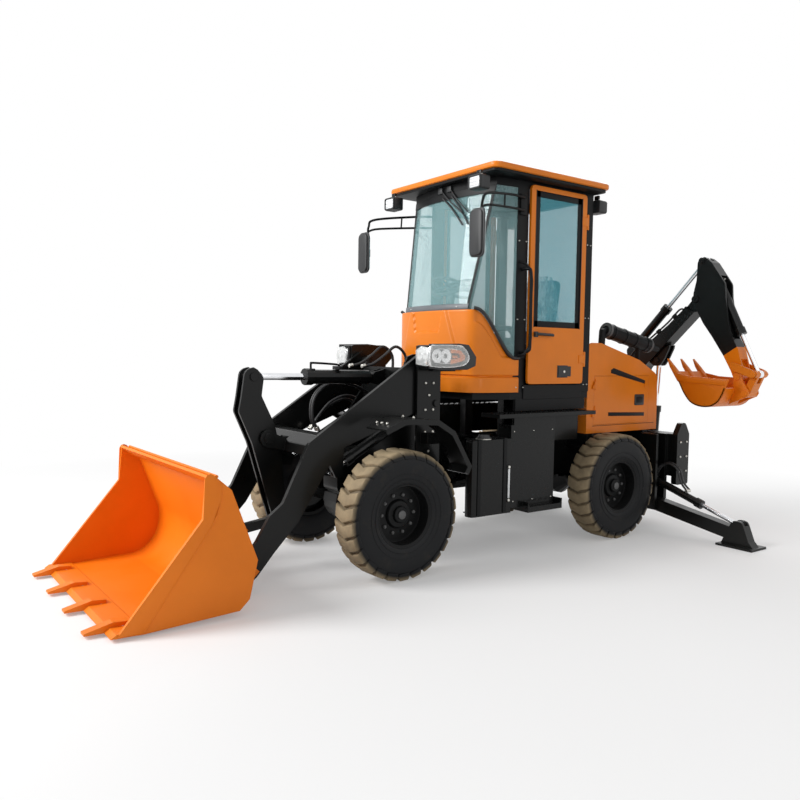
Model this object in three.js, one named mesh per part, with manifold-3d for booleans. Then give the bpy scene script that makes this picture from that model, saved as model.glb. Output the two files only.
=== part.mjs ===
// Compact articulated backhoe loader: front loader bucket, hinged frame, cab, rear engine and side-folded backhoe.
// Millimetres, +Z up. The machine faces -Y and its left side is +X. Points below are given from the front axle,
// on the centre plane, at the ground; the whole is moved at the end so the origin lies under its middle.
import * as THREE from "three";
import { mergeVertices } from "three/addons/utils/BufferGeometryUtils.js";
import Module from "manifold-3d";

const wasm = await Module();
wasm.setup();

// ---- Driving sizes ----
const WHEELBASE = 2235;
const TRACK = 1285;
const TYRE_RADIUS = 440;
const TYRE_WIDTH = 230;
const RIM_RADIUS = 205;
const RIM_WALL = 8;
const ROUND = 24; // sides of a wheel
const AXLE_TUBE = 60; // radius of an axle tube
const AXLE_BULB = 150; // radius of a differential
const FIT = 0.3; // gap between pieces bolted together
const PIN_FIT = 0.5; // side gap at a pin
const HINGE_Y = 1117; // articulation pivot
const ARM_IN = 388; // inner face of a loader arm
const ARM_PLATE = 32;
const TOWER_IN = 250; // inner face of the inner tower plate
const TOWER_OUT = 430; // inner face of the outer tower plate
const TOWER_PLATE = 20;
const BUCKET_WIDTH = 1600;
const BUCKET_SHEET = 16;
const TOOTH_LENGTH = 140;
const CAB_HALF = 530; // half width of the cab over its doors
const GLASS = 5;
const ROOF_HALF = 675;
const ROOF_DEPTH = 65;
const HOOD_HALF = 500;
const SWING_Y = 3350; // swing axis of the backhoe
const DIG_WIDTH = 480; // width of the backhoe bucket
const BOOM_HALF = 75; // half width of the boom
const RAIL_RADIUS = 11;
const PAD_HALF = 155; // half length of a stabilizer foot across the machine

// ---- Pins: loader in (y, z), backhoe and stabilizers in (x, z) ----
const ARM_PIN = [400, 1450];
const LIFT_BASE = [470, 1165];
const LIFT_EYE = [-330, 720];
const LIFT_X = 330;
const TILT_BASE = [230, 1343];
const TILT_EYE = [-780, 1350];
const CRANK_PIN = [-681, 931];
const CRANK_FOOT = [-570, 350];
const LINK_EYE = [-870, 310];
const BUCKET_PIN = [-990, 140];
const BOOM_FOOT = [60, 1020];
const BOOM_RAM_BASE = [235, 560];
const BOOM_RAM_EYE = [287, 1501];
const STICK_PIN = [690, 2061];
const STICK_RAM_BASE = [-20, 1600];
const STICK_RAM_EYE = [741, 2405];
const DIG_RAM_BASE = [893, 2195];
const GUIDE_PIN = [1094, 1460];
const DIG_PIN = [1133, 1371];
const LINK_JOINT = [1283, 1394];
const DIG_LINK_PIN = [1205, 1225];
const LEG_Y = 2845; // plane of the stabilizers
const LEG_PIN = [620, 235];
const LEG_RAM_BASE = [610, 450];
const LEG_RAM_EYE = [1452, 172];

// ---- Making solids ----
function solid(geometry) {
  const bare = geometry.index ? geometry.toNonIndexed() : geometry;
  bare.deleteAttribute("normal");
  bare.deleteAttribute("uv");
  const merged = mergeVertices(bare, 1e-3);
  return new wasm.Manifold(
    new wasm.Mesh({
      numProp: 3,
      vertProperties: merged.attributes.position.array,
      triVerts: new Uint32Array(merged.index.array),
    }),
  );
}

const join = (...parts) => parts.flat().reduce((a, b) => a.add(b));
const cut = (body, ...tools) => tools.flat().reduce((a, b) => a.subtract(b), body);
const mirrored = (body) => body.mirror([1, 0, 0]);
const both = (body) => [body, mirrored(body)];

// A corner given as [a, b, radius] is rounded with a few short edges.
function outline(points) {
  const made = [];
  points.forEach((point, i) => {
    const [a, b, radius] = point;
    if (!radius) {
      made.push(new THREE.Vector2(a, b));
      return;
    }
    const here = new THREE.Vector2(a, b);
    const before = new THREE.Vector2(...points.at(i - 1).slice(0, 2)).sub(here);
    const after = new THREE.Vector2(...points[(i + 1) % points.length].slice(0, 2)).sub(here);
    const half = Math.acos(before.dot(after) / before.length() / after.length()) / 2;
    const reach = Math.min(radius / Math.tan(half), 0.48 * before.length(), 0.48 * after.length());
    const start = here.clone().add(before.setLength(reach));
    const end = here.clone().add(after.setLength(reach));
    made.push(...new THREE.QuadraticBezierCurve(start, here, end).getPoints(2));
  });
  return made;
}

function slab(points, lo, hi, basis) {
  const shape = new THREE.Shape(points);
  const geometry = new THREE.ExtrudeGeometry(shape, { depth: hi - lo, bevelEnabled: false });
  geometry.translate(0, 0, lo);
  return solid(geometry.applyMatrix4(basis));
}

const X = new THREE.Vector3(1, 0, 0);
const Y = new THREE.Vector3(0, 1, 0);
const Z = new THREE.Vector3(0, 0, 1);
const ALONG_X = new THREE.Matrix4().makeBasis(Y, Z, X);
const ALONG_Y = new THREE.Matrix4().makeBasis(Z, X, Y);
const ALONG_Z = new THREE.Matrix4();

// Plates cut to an outline: (y, z) along X, (x, z) along Y, (x, y) along Z.
const slabX = (points, lo, hi) => slab(outline(points), lo, hi, ALONG_X);
const slabY = (points, lo, hi) =>
  slab(outline(points).map((p) => new THREE.Vector2(p.y, p.x)), lo, hi, ALONG_Y);
const slabZ = (points, lo, hi) => slab(outline(points), lo, hi, ALONG_Z);

function box(x0, x1, y0, y1, z0, z1) {
  const geometry = new THREE.BoxGeometry(x1 - x0, y1 - y0, z1 - z0);
  geometry.translate((x0 + x1) / 2, (y0 + y1) / 2, (z0 + z1) / 2);
  return solid(geometry);
}

// A round bar between two points in space; the second radius is at its far end.
function bar(from, to, radius, sides = 12, radiusTo = radius) {
  const a = new THREE.Vector3(...from);
  const b = new THREE.Vector3(...to);
  const along = b.clone().sub(a);
  const geometry = new THREE.CylinderGeometry(radiusTo, radius, along.length(), sides);
  geometry.applyQuaternion(new THREE.Quaternion().setFromUnitVectors(Y, along.normalize()));
  geometry.translate(...a.add(b).multiplyScalar(0.5).toArray());
  return solid(geometry);
}

const discX = ([y, z], lo, hi, radius, sides = 12) => bar([lo, y, z], [hi, y, z], radius, sides);
const discY = ([x, z], lo, hi, radius, sides = 12) => bar([x, lo, z], [x, hi, z], radius, sides);
const discZ = ([x, y], lo, hi, radius, sides = 12) => bar([x, y, lo], [x, y, hi], radius, sides);

// A turned body on an axis along X; the profile is (radius, x).
function turned(profile, x, y, z, sides) {
  const points = profile.map(([r, h]) => new THREE.Vector2(r, h));
  if (THREE.ShapeUtils.area(points) < 0) points.reverse();
  const closed = points[0].x > 0 ? [...points, points[0].clone()] : points;
  const geometry = new THREE.LatheGeometry(closed, sides);
  geometry.rotateZ(-Math.PI / 2);
  geometry.translate(x, y, z);
  return solid(geometry);
}

// A round tube along a smooth path.
function tube(points, radius, sides = 8, steps = 12) {
  const path = new THREE.CatmullRomCurve3(points.map((p) => new THREE.Vector3(...p)), false, "centripetal");
  const ring = Array.from({ length: sides }, (_, i) => {
    const turn = (2 * Math.PI * i) / sides;
    return new THREE.Vector2(radius * Math.cos(turn), radius * Math.sin(turn));
  });
  const shape = new THREE.Shape(ring);
  return solid(new THREE.ExtrudeGeometry(shape, { steps, extrudePath: path, bevelEnabled: false }));
}

// The outline of a folded sheet that follows a path; the thickness is laid to the left of the path.
function sheet(path, thickness) {
  const inner = path.map(([a, b], i) => {
    const [pa, pb] = path[Math.max(i - 1, 0)];
    const [na, nb] = path[Math.min(i + 1, path.length - 1)];
    const into = new THREE.Vector2(a - pa, b - pb).normalize();
    const out = new THREE.Vector2(na - a, nb - b).normalize();
    const mean = into.add(out).normalize();
    return [a - mean.y * thickness, b + mean.x * thickness];
  });
  return [...path, ...inner.reverse()];
}

// A hydraulic cylinder between two pins, drawn in its own plane and placed by the point function.
function ram({ base, eye, at, disc, halfWidth, radius, rod, barrel, inside, eyeRadius }) {
  const along = new THREE.Vector2(eye[0] - base[0], eye[1] - base[1]);
  const length = along.length();
  const point = (d) => [base[0] + (along.x * d) / length, base[1] + (along.y * d) / length];
  const body = join(
    disc(base, -halfWidth, halfWidth, eyeRadius),
    bar(at(point(0)), at(point(eyeRadius + 24)), halfWidth - 3, 12),
    bar(at(point(eyeRadius + 14)), at(point(barrel)), radius, 12),
    bar(at(point(barrel - 60)), at(point(barrel)), radius + 8, 12),
  );
  const bore = bar(at(point(eyeRadius + 28)), at(point(barrel + 1)), rod + FIT, 12);
  const shaft = join(
    disc(eye, -halfWidth, halfWidth, eyeRadius),
    bar(at(point(inside)), at(point(length)), rod, 12),
  );
  return { cylinder: cut(body, bore), rod: shaft };
}

const pieces = [];
function piece(name, body, colour, metalness = 0.1, roughness = 0.55) {
  const mesh = body.getMesh();
  const geometry = new THREE.BufferGeometry();
  const flat = new Float32Array((mesh.vertProperties.length / mesh.numProp) * 3);
  for (let i = 0; i < flat.length / 3; i += 1) {
    for (let k = 0; k < 3; k += 1) flat[3 * i + k] = mesh.vertProperties[i * mesh.numProp + k];
  }
  geometry.setAttribute("position", new THREE.BufferAttribute(flat, 3));
  geometry.setIndex(new THREE.BufferAttribute(new Uint32Array(mesh.triVerts), 1));
  geometry.computeVertexNormals();
  const material = new THREE.MeshStandardMaterial({ color: colour, metalness, roughness });
  const made = new THREE.Mesh(geometry, material);
  made.name = name;
  pieces.push(made);
}

const ORANGE = 0xd9431a;
const DARK = 0x2b2f2c;
const BLACK = 0x161616;
const CHROME = 0xd8dadc;
const RUBBER = 0x1b1b1c;
const GLAZING = 0x9fc4bd;
const GREY = 0x8d908e;

// ---- Wheels and axles ----
const HUB_FACE = TRACK / 2 - 20; // inner face of a wheel disc
const TYRE_HALF = TYRE_WIDTH / 2;

const TYRE = [
  [RIM_RADIUS, -TYRE_HALF + 30],
  [RIM_RADIUS + 17, -TYRE_HALF + 30],
  [TYRE_RADIUS - 100, -TYRE_HALF],
  [TYRE_RADIUS - 25, -TYRE_HALF + 3],
  [TYRE_RADIUS, -TYRE_HALF + 20],
  [TYRE_RADIUS, TYRE_HALF - 20],
  [TYRE_RADIUS - 25, TYRE_HALF - 3],
  [TYRE_RADIUS - 100, TYRE_HALF],
  [RIM_RADIUS + 17, TYRE_HALF - 30],
  [RIM_RADIUS, TYRE_HALF - 30],
];
const FLANGE = TYRE_HALF - 28;
const BARREL = RIM_RADIUS - FIT;
const RIM = [
  [0, -20],
  [BARREL - RIM_WALL, -20],
  [BARREL - RIM_WALL, -FLANGE - 10],
  [RIM_RADIUS + 20, -FLANGE - 10],
  [RIM_RADIUS + 20, -FLANGE],
  [BARREL, -FLANGE],
  [BARREL, FLANGE],
  [RIM_RADIUS + 20, FLANGE],
  [RIM_RADIUS + 20, FLANGE + 10],
  [BARREL - RIM_WALL, FLANGE + 10],
  [BARREL - RIM_WALL, -8],
  [95, -8],
  [90, 40],
  [55, 52],
  [0, 52],
];
for (const [end, y] of [["front", 0], ["rear", WHEELBASE]]) {
  const tyre = turned(TYRE, TRACK / 2, y, TYRE_RADIUS, ROUND);
  const rim = turned(RIM, TRACK / 2, y, TYRE_RADIUS, ROUND);
  piece(`tyre_${end}_left`, tyre, RUBBER, 0, 0.9);
  piece(`tyre_${end}_right`, mirrored(tyre), RUBBER, 0, 0.9);
  piece(`rim_${end}_left`, rim, BLACK, 0.3, 0.5);
  piece(`rim_${end}_right`, mirrored(rim), BLACK, 0.3, 0.5);
}

// An axle grown by a margin also serves to cut its seat out of the frame above it.
function axle(y, margin) {
  const end = HUB_FACE - FIT + margin;
  const half = [
    [AXLE_BULB + margin, 90 + margin],
    [AXLE_TUBE + margin, 190],
    [AXLE_TUBE + margin, end - 80],
    [AXLE_BULB + margin, end - 60],
    [AXLE_BULB + margin, end],
    [0, end],
  ];
  const other = half.map(([r, x]) => [r, -x]).reverse();
  return turned([...other, ...half], 0, y, TYRE_RADIUS, 16);
}
piece("front_axle", axle(0, 0), DARK);
piece("rear_axle", axle(WHEELBASE, 0), DARK);

// ---- Front frame: box, towers, fenders, headlights, hinge forks ----
const TOWER_WEB = TOWER_IN + TOWER_PLATE;
const TOWER_FACE = TOWER_OUT + TOWER_PLATE;
const TONGUE_LOW = 505;
const TONGUE_HIGH = 835;

const frontBox = cut(
  join(
    slabX([[-250, 560, 40], [-250, 760, 30], [-180, 800], [420, 800], [420, 520], [-190, 520]], -TOWER_WEB, TOWER_WEB),
    box(-115, 115, 400, 900, TONGUE_LOW - 25, TONGUE_HIGH + 25),
  ),
  box(-80, 80, -260, 20, 300, 900),
  box(-85, 85, 60, 380, 600, 900),
);
const fork = [[-115, 850], [115, 850], [115, 960], [80, 1117 - 20], [-80, 1117 - 20], [-115, 960]];
const forks = [[TONGUE_LOW - 25, TONGUE_LOW - PIN_FIT], [TONGUE_HIGH + PIN_FIT, TONGUE_HIGH + 25]].map(([lo, hi]) =>
  join(slabZ(fork, lo, hi), discZ([0, HINGE_Y], lo, hi, 85, 16)),
);
const innerTower = slabX(
  [[-60, 780], [420, 780], [420, 930], [510, 970], [510, 1520, 60], [330, 1520, 80], [290, 1250], [60, 930]],
  TOWER_IN,
  TOWER_WEB,
);
const outerTower = slabX(
  [[300, 550, 30], [510, 550, 30], [510, 1540, 50], [300, 1540, 50]],
  TOWER_OUT,
  TOWER_FACE,
);
const armSeat = join(
  discX(ARM_PIN, TOWER_WEB - 1, ARM_IN - PIN_FIT, 45),
  discX(ARM_PIN, ARM_IN + ARM_PLATE + PIN_FIT, TOWER_OUT + 1, 45),
  discX(ARM_PIN, TOWER_FACE - 1, TOWER_FACE + 14, 30, 12),
);
const liftSeat = join(
  discX(LIFT_BASE, TOWER_WEB - 1, LIFT_X - 30 - PIN_FIT, 40),
  discX(LIFT_BASE, LIFT_X + 30 + PIN_FIT, TOWER_OUT + 1, 40),
  discX(LIFT_BASE, TOWER_FACE - 1, TOWER_FACE + 14, 26, 12),
);
const tower = join(
  innerTower,
  outerTower,
  box(TOWER_WEB - 1, TOWER_OUT + 1, 340, 420, 600, 780),
  armSeat,
  liftSeat,
);
const crossPlate = slabX([[300, 790], [335, 790], [335, 1420], [300, 1420]], -TOWER_IN - 1, TOWER_IN + 1);
const tiltLug = join(
  slabX([[301, 1280], [301, 1406], [230, 1388], [190, 1343], [230, 1298]], 26, 46),
  discX(TILT_BASE, 26, 46, 45),
);

const fenderPath = [[-187, 1027], [-35, 1086], [15, 1090], [256, 1074], [401, 990], [559, 735], [530, 680]];
const fender = join(
  slabX(sheet(fenderPath, -12), 530, 760),
  slabX(sheet(fenderPath, -38), 752, 760),
  slabX([[335, 880], [335, 960], [405, 960], [452, 900], [452, 880]], TOWER_FACE - 1, 534),
);
const headlight = join(
  slabX([[300, 1420, 20], [300, 1585, 20], [640, 1590, 90], [715, 1500, 30], [640, 1424, 30]], TOWER_OUT + 4, 590),
  slabX([[286, 1430], [286, 1580], [301, 1580], [301, 1430]], TOWER_OUT + 14, 580),
);
piece(
  "front_chassis",
  cut(
    join(frontBox, forks, crossPlate, both(join(tower, tiltLug, fender, headlight))),
    axle(0, FIT),
  ),
  DARK,
);

// ---- Loader: arms, linkage, bucket ----
const ARM_OUT = ARM_IN + ARM_PLATE;
const armShape = [
  [372, 1541, 60], [-559, 927, 60], [-745, 545, 60], [-839, 474], [-930, 320, 60], [-1058, 160], [-930, 92],
  [-812, 229, 50], [-633, 416, 60], [-400, 770], [-352, 680], [-300, 690], [-290, 880], [300, 1098, 60],
  [470, 1330, 60], [490, 1500, 50],
];
const arm = join(
  slabX(armShape, ARM_IN, ARM_OUT),
  discX(BUCKET_PIN, ARM_IN - 8, ARM_OUT + 8, 70, 16),
  discX(LIFT_EYE, LIFT_X + 30 + PIN_FIT, ARM_IN + 1, 45),
  slabX(
    [[-540, 835], [-540, 900], [-400, 900], [-285, 730], [-330, 675], [-400, 690]],
    LIFT_X - 50,
    LIFT_X - 30 - PIN_FIT,
  ),
);
const armBeam = slabX([[-560, 840], [-556, 905, 20], [-470, 968, 20], [-360, 968], [-360, 840]], -ARM_IN - 1, ARM_IN + 1);
const carrier = join(
  slabX([[-540, 842], [-540, 916], [-690, 990], [-735, 940], [-700, 872]], 58, 78),
  discX(CRANK_PIN, 58, 78, 60),
  discX(CRANK_PIN, 77, 90, 34, 12),
);
const crankGap = box(-57, 57, -570, -515, 830, 980);
piece("loader_arms", join(cut(armBeam, crankGap), both(arm), both(carrier)), BLACK);

const crankShape = [
  [-845, 1385, 50], [-868, 1220, 60], [-887, 1116, 40], [-790, 900], [-622, 340, 40], [-520, 330, 50],
  [-570, 800, 80], [-623, 1021, 60], [-723, 1219, 40], [-706, 1350, 50], [-780, 1425, 60],
];
const crankCheek = join(slabX(crankShape, 32, 52), discX(TILT_EYE, 51, 64, 30, 12), discX(CRANK_FOOT, 51, 64, 28, 12));
piece("bellcrank", join(both(crankCheek), discX(CRANK_PIN, -57.5, 57.5, 50)), BLACK);

const linkBar = join(
  discX(CRANK_FOOT, -31.5, 31.5, 44),
  discX(LINK_EYE, -31.5, 31.5, 44),
  slabX([[-580, 380], [-860, 342], [-860, 280], [-575, 318]], -24, 24),
);
piece("bucket_link", linkBar, BLACK);

const BUCKET_HALF = BUCKET_WIDTH / 2;
const bucketBack = [[-1896, 22], [-1763, 14], [-1213, 40], [-1151, 99], [-1102, 319], [-1264, 740], [-1352, 816]];
const bucketSide = [...bucketBack, [-1410, 837], [-1433, 590]];
const bucketBed = slabX(sheet(bucketBack, BUCKET_SHEET), -BUCKET_HALF, BUCKET_HALF);
const bucketWall = slabX(bucketSide, BUCKET_HALF - 20, BUCKET_HALF);
const lip = slabX([[-1930, 20], [-1760, 15], [-1760, 38], [-1900, 40]], -BUCKET_HALF, BUCKET_HALF);
const brow = slabX([[-1340, 790], [-1410, 837], [-1418, 822], [-1350, 770]], -BUCKET_HALF, BUCKET_HALF);
const toothShape = [[-1800, 14], [-1890 - TOOTH_LENGTH, 18], [-1890 - TOOTH_LENGTH, 30], [-1880, 66], [-1800, 60]];
const teeth = [210, 640].flatMap((x) => both(slabX(toothShape, x - 32, x + 32)));
const armEar = slabX([[-1125, 330], [-990, 204], [-925, 140], [-990, 75], [-1160, 62], [-1140, 180]], 0, 24);
const armEars = join(
  armEar.translate([ARM_IN - 8 - PIN_FIT - 24, 0, 0]),
  armEar.translate([ARM_OUT + 8 + PIN_FIT, 0, 0]),
  discX(BUCKET_PIN, ARM_OUT + 8 + PIN_FIT + 23, ARM_OUT + 8 + PIN_FIT + 36, 34, 12),
);
const linkEar = slabX([[-1115, 190], [-1150, 460], [-870, 362], [-816, 310], [-870, 258]], 32, 52);
piece("loader_bucket", join(bucketBed, lip, brow, both(bucketWall), teeth, both(armEars), both(linkEar)), ORANGE);

const onCentre = ([y, z]) => [0, y, z];
const tilt = ram({
  base: TILT_BASE,
  eye: TILT_EYE,
  at: onCentre,
  disc: discX,
  halfWidth: 25.5,
  radius: 52,
  rod: 25,
  barrel: 600,
  inside: 405,
  eyeRadius: 42,
});
const tiltEyeHub = discX(TILT_EYE, -31.5, 31.5, 44);
piece("tilt_cylinder", tilt.cylinder, BLACK);
piece("tilt_rod", join(tilt.rod, tiltEyeHub), CHROME, 0.9, 0.2);

const lift = ram({
  base: LIFT_BASE,
  eye: LIFT_EYE,
  at: ([y, z]) => [LIFT_X, y, z],
  disc: (pin, lo, hi, radius) => discX(pin, LIFT_X + lo, LIFT_X + hi, radius),
  halfWidth: 30,
  radius: 38,
  rod: 22,
  barrel: 805,
  inside: 120,
  eyeRadius: 40,
});
piece("lift_cylinder_left", lift.cylinder, BLACK);
piece("lift_cylinder_right", mirrored(lift.cylinder), BLACK);
piece("lift_rod_left", lift.rod, CHROME, 0.9, 0.2);
piece("lift_rod_right", mirrored(lift.rod), CHROME, 0.9, 0.2);

// ---- Rear frame: tongue, belly, rails, side boxes, steps, fuel tank ----
const RAIL_END = 2930;
const tankShape = [[450, 790, 60], [520, 700, 60], [600, 700, 70], [600, 1100], [450, 1100]];
const tank = join(slabZ(tankShape, 320, 880), slabZ(tankShape.map(([x, y, r]) => [x, Math.max(y, 705), r]), 879, 890));
const tongue = join(
  discZ([0, HINGE_Y], TONGUE_LOW, TONGUE_HIGH, 70, 16),
  box(-55, 55, HINGE_Y, 1330, TONGUE_LOW, TONGUE_HIGH),
);
const sideBox = join(
  box(450, 590, 1100 + FIT, 1580, 350, 990),
  box(269, 451, 1320, 1580, 560, 830),
  box(450, 470, 1130, 1990, 830, 1051),
  box(470, 590, 1480, 1500, 980, 1051),
  box(570, 590, 1130, 1580, 980, 1051),
  box(450, 650, 920, 2000, 1050, 1080),
  slabX([[1240, 390], [1240, 310], [1620, 310], [1620, 390], [1600, 352], [1260, 352]], 500, 650),
);
const rail = box(TOWER_IN, TOWER_WEB, 1990, RAIL_END - FIT, 480, 800);
const belly = join(
  box(-270, 270, 1300, 1995, 500, 840),
  box(-251, 251, 2100, 2900, 640, 660),
  box(-HOOD_HALF, HOOD_HALF, 2075, 2140, 760, 870 - FIT),
  box(-HOOD_HALF, HOOD_HALF, 2830, 2900, 760, 870 - FIT),
);
const cabPost = join(box(200, 270, 1320, 1400, 839, 1180 - FIT), box(200, 270, 1900, 1980, 839, 1180 - FIT));
piece(
  "rear_chassis",
  cut(
    join(tongue, belly, both(join(sideBox, rail, cabPost)), mirrored(tank), box(-590, -460, 1099, 1102, 400, 860)),
    axle(WHEELBASE, FIT),
  ),
  DARK,
);
piece("hydraulic_tank", tank, DARK);
piece("engine", box(-235, 235, 2170, 2820, 660 + FIT, 1300), GREY, 0.4, 0.6);

// ---- Backhoe frame with the swing brackets and stabilizer mounts ----
const END_PLATE = [[2925, 400, 20], [2925, 850, 20], [2985, 950, 40], [3040, 950, 40], [3100, 850, 20], [3100, 400, 20]];
const mount = cut(
  box(520, 700, 2765, RAIL_END + 2, 180, 850),
  box(560, 701, LEG_Y - 50.5, LEG_Y + 50.5, 179, 851),
);
const bracket = [[-160, 3095], [160, 3095], [160, 3130, 40], [75, 3215, 30], [75, SWING_Y], [-75, SWING_Y], [-75, 3215, 30], [-160, 3130, 40]];
const brackets = [[470, 500], [820, 850]].map(([lo, hi]) =>
  join(slabZ(bracket, lo, hi), discZ([0, SWING_Y], lo, hi, 75, 16)),
);
const boltHeads = [LEG_PIN, LEG_RAM_BASE].map((pin) => discY(pin, 2755, 2766, 26, 10));
piece(
  "backhoe_frame",
  join(
    slabX([[RAIL_END, 470, 20], [RAIL_END, 850], [3100, 850, 20], [3100, 470, 20]], -750, 750),
    both(join(slabX(END_PLATE, 749, 800), mount, ...boltHeads)),
    brackets,
  ),
  DARK,
);

// ---- Stabilizers ----
const legShape = [
  [566, 235, 50], [620, 292, 60], [1390, 160], [1420, 215, 40], [1500, 210, 40], [1560, 60], [1600, 16],
  [1325, 16], [1345, 62], [640, 180, 50],
];
const leg = cut(
  join(
    cut(slabY(legShape, LEG_Y - 50, LEG_Y + 50), box(1300, 1650, LEG_Y + 45, LEG_Y + 51, 0, 300)),
    box(PAD_HALF * -1 + 1465, PAD_HALF + 1465, LEG_Y - 105, LEG_Y + 115, 0, 18),
    discY(LEG_RAM_EYE, LEG_Y + 44, LEG_Y + 58, 24, 10),
  ),
  slabY([[1395, 120], [1512, 120], [1512, 330], [1340, 330]], LEG_Y - 26, LEG_Y + 26),
);
const legRam = ram({
  base: LEG_RAM_BASE,
  eye: LEG_RAM_EYE,
  at: ([x, z]) => [x, LEG_Y, z],
  disc: (pin, lo, hi, radius) => discY(pin, LEG_Y + lo, LEG_Y + hi, radius),
  halfWidth: 25.5,
  radius: 32,
  rod: 18,
  barrel: 530,
  inside: 330,
  eyeRadius: 34,
});
const legBase = discY(LEG_RAM_BASE, LEG_Y - 50, LEG_Y + 50, 36);
for (const [side, turn] of [["left", (body) => body], ["right", mirrored]]) {
  piece(`stabilizer_${side}`, turn(leg), DARK);
  piece(`stabilizer_cylinder_${side}`, turn(join(legRam.cylinder, legBase)), BLACK);
  piece(`stabilizer_rod_${side}`, turn(legRam.rod), CHROME, 0.9, 0.2);
}

// ---- Backhoe, folded towards the left side ----
const yDisc = (pin, lo, hi, radius, sides) => discY(pin, SWING_Y + lo, SWING_Y + hi, radius, sides);
const yPlate = (points, lo, hi) => slabY(points, SWING_Y + lo, SWING_Y + hi);
const inPlane = ([x, z]) => [x, SWING_Y, z];
const bothY = (body) => [body, body.translate([0, -SWING_Y, 0]).mirror([0, 1, 0]).translate([0, SWING_Y, 0])];

const cheekShape = [
  [40, 515], [250, 505, 50], [292, 560, 50], [262, 680, 60], [206, 850], [128, 1070, 50], [0, 1080, 60],
  [-10, 960, 50], [106, 858], [106, 812], [40, 805],
];
const cheek = join(yPlate(cheekShape, 56, 78), yDisc(BOOM_FOOT, 77, 90, 34, 12), yDisc(BOOM_RAM_BASE, 77, 90, 30, 12));
piece(
  "swing_post",
  join(
    discZ([0, SWING_Y], 500 + PIN_FIT, 820 - PIN_FIT, 65, 16),
    box(20, 140, SWING_Y - 57, SWING_Y + 57, 520, 800),
    bothY(cheek),
  ),
  DARK,
);

const boomShape = [
  [118, 1030], [120, 1290, 60], [150, 1425, 80], [247, 1510], [520, 1780], [702, 1958, 20], [700, 2040], [640, 2050, 20],
  [563, 1963], [424, 1837], [228, 1686], [49, 1561, 60], [-8, 1450, 60], [-16, 1240, 80], [2, 1030],
];
const boomLug = yPlate([[200, 1485], [258, 1446, 20], [325, 1450, 30], [372, 1520, 20], [440, 1662, 20], [300, 1600]], 26, 46);
const stickRamLug = yPlate([[-66, 1600, 30], [-20, 1650, 40], [60, 1600], [60, 1500], [-10, 1440], [-50, 1520, 30]], 26, 46);
piece(
  "boom",
  cut(
    join(
      yPlate(boomShape, -BOOM_HALF, BOOM_HALF),
      yDisc(BOOM_FOOT, -55.5, 55.5, 58, 16),
      yDisc(STICK_PIN, -45, 45, 50, 16),
      bothY(join(boomLug, stickRamLug)),
      bothY(yDisc(BOOM_RAM_EYE, 45, 56, 28, 12)),
    ),
    bothY(yDisc(BOOM_FOOT, 55.5, 80, 125, 16)),
    bothY(yDisc(STICK_PIN, 45, 80, 114, 16)),
    yDisc(BOOM_RAM_EYE, -26, 26, 52, 16),
    yDisc(STICK_RAM_BASE, -26, 26, 52, 16),
  ),
  ORANGE,
);

const stickShape = [
  [699, 2400, 30], [761, 2445, 40], [838, 2382, 30], [976, 2185, 60], [985, 2060], [1040, 1760], [1122, 1600], [1180, 1400],
  [1150, 1328, 30], [1100, 1330, 30], [1060, 1420], [983, 1554, 40], [866, 1723], [775, 1842], [729, 1921], [664, 2035, 30],
  [668, 2120, 40], [694, 2230],
];
piece(
  "stick",
  cut(
    join(yPlate(stickShape, -65, 65), bothY(yDisc(STICK_PIN, 64, 77, 34, 12)), bothY(yDisc(STICK_RAM_EYE, 64, 75, 28, 12))),
    yDisc(STICK_PIN, -45.5, 45.5, 64, 16),
    yPlate([[560, 2110], [690, 2110], [722, 2000], [722, 1940], [560, 1780]], -45.5, 45.5),
    yPlate([[600, 2170], [690, 2170], [770, 2290], [812, 2370], [812, 2480], [600, 2480]], -26, 26),
    yPlate([[846, 2190], [880, 2262], [1010, 2262], [1200, 1700], [1026, 1700], [930, 1960]], -47, 47),
    yPlate([[1120, 1500], [1180, 1560], [1230, 1330], [1190, 1330]], -47, 47),
    yDisc(GUIDE_PIN, -80, 80, 21.3, 12),
  ),
  ORANGE,
);

const boomRam = ram({
  base: BOOM_RAM_BASE,
  eye: BOOM_RAM_EYE,
  at: inPlane,
  disc: yDisc,
  halfWidth: 25.5,
  radius: 44,
  rod: 24,
  barrel: 505,
  inside: 462,
  eyeRadius: 38,
});
piece("boom_cylinder", join(boomRam.cylinder, yDisc(BOOM_RAM_BASE, -55.5, 55.5, 40)), BLACK);
piece("boom_rod", boomRam.rod, CHROME, 0.9, 0.2);

const stickRam = ram({
  base: STICK_RAM_BASE,
  eye: STICK_RAM_EYE,
  at: inPlane,
  disc: yDisc,
  halfWidth: 25.5,
  radius: 40,
  rod: 22,
  barrel: 560,
  inside: 515,
  eyeRadius: 38,
});
piece("stick_cylinder", stickRam.cylinder, BLACK);
piece("stick_rod", stickRam.rod, CHROME, 0.9, 0.2);

const digRam = ram({
  base: DIG_RAM_BASE,
  eye: LINK_JOINT,
  at: inPlane,
  disc: yDisc,
  halfWidth: 25.5,
  radius: 36,
  rod: 20,
  barrel: 510,
  inside: 400,
  eyeRadius: 34,
});
piece("bucket_cylinder", join(digRam.cylinder, yDisc(DIG_RAM_BASE, -46.5, 46.5, 36)), BLACK);
piece("bucket_rod", digRam.rod, CHROME, 0.9, 0.2);

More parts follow.
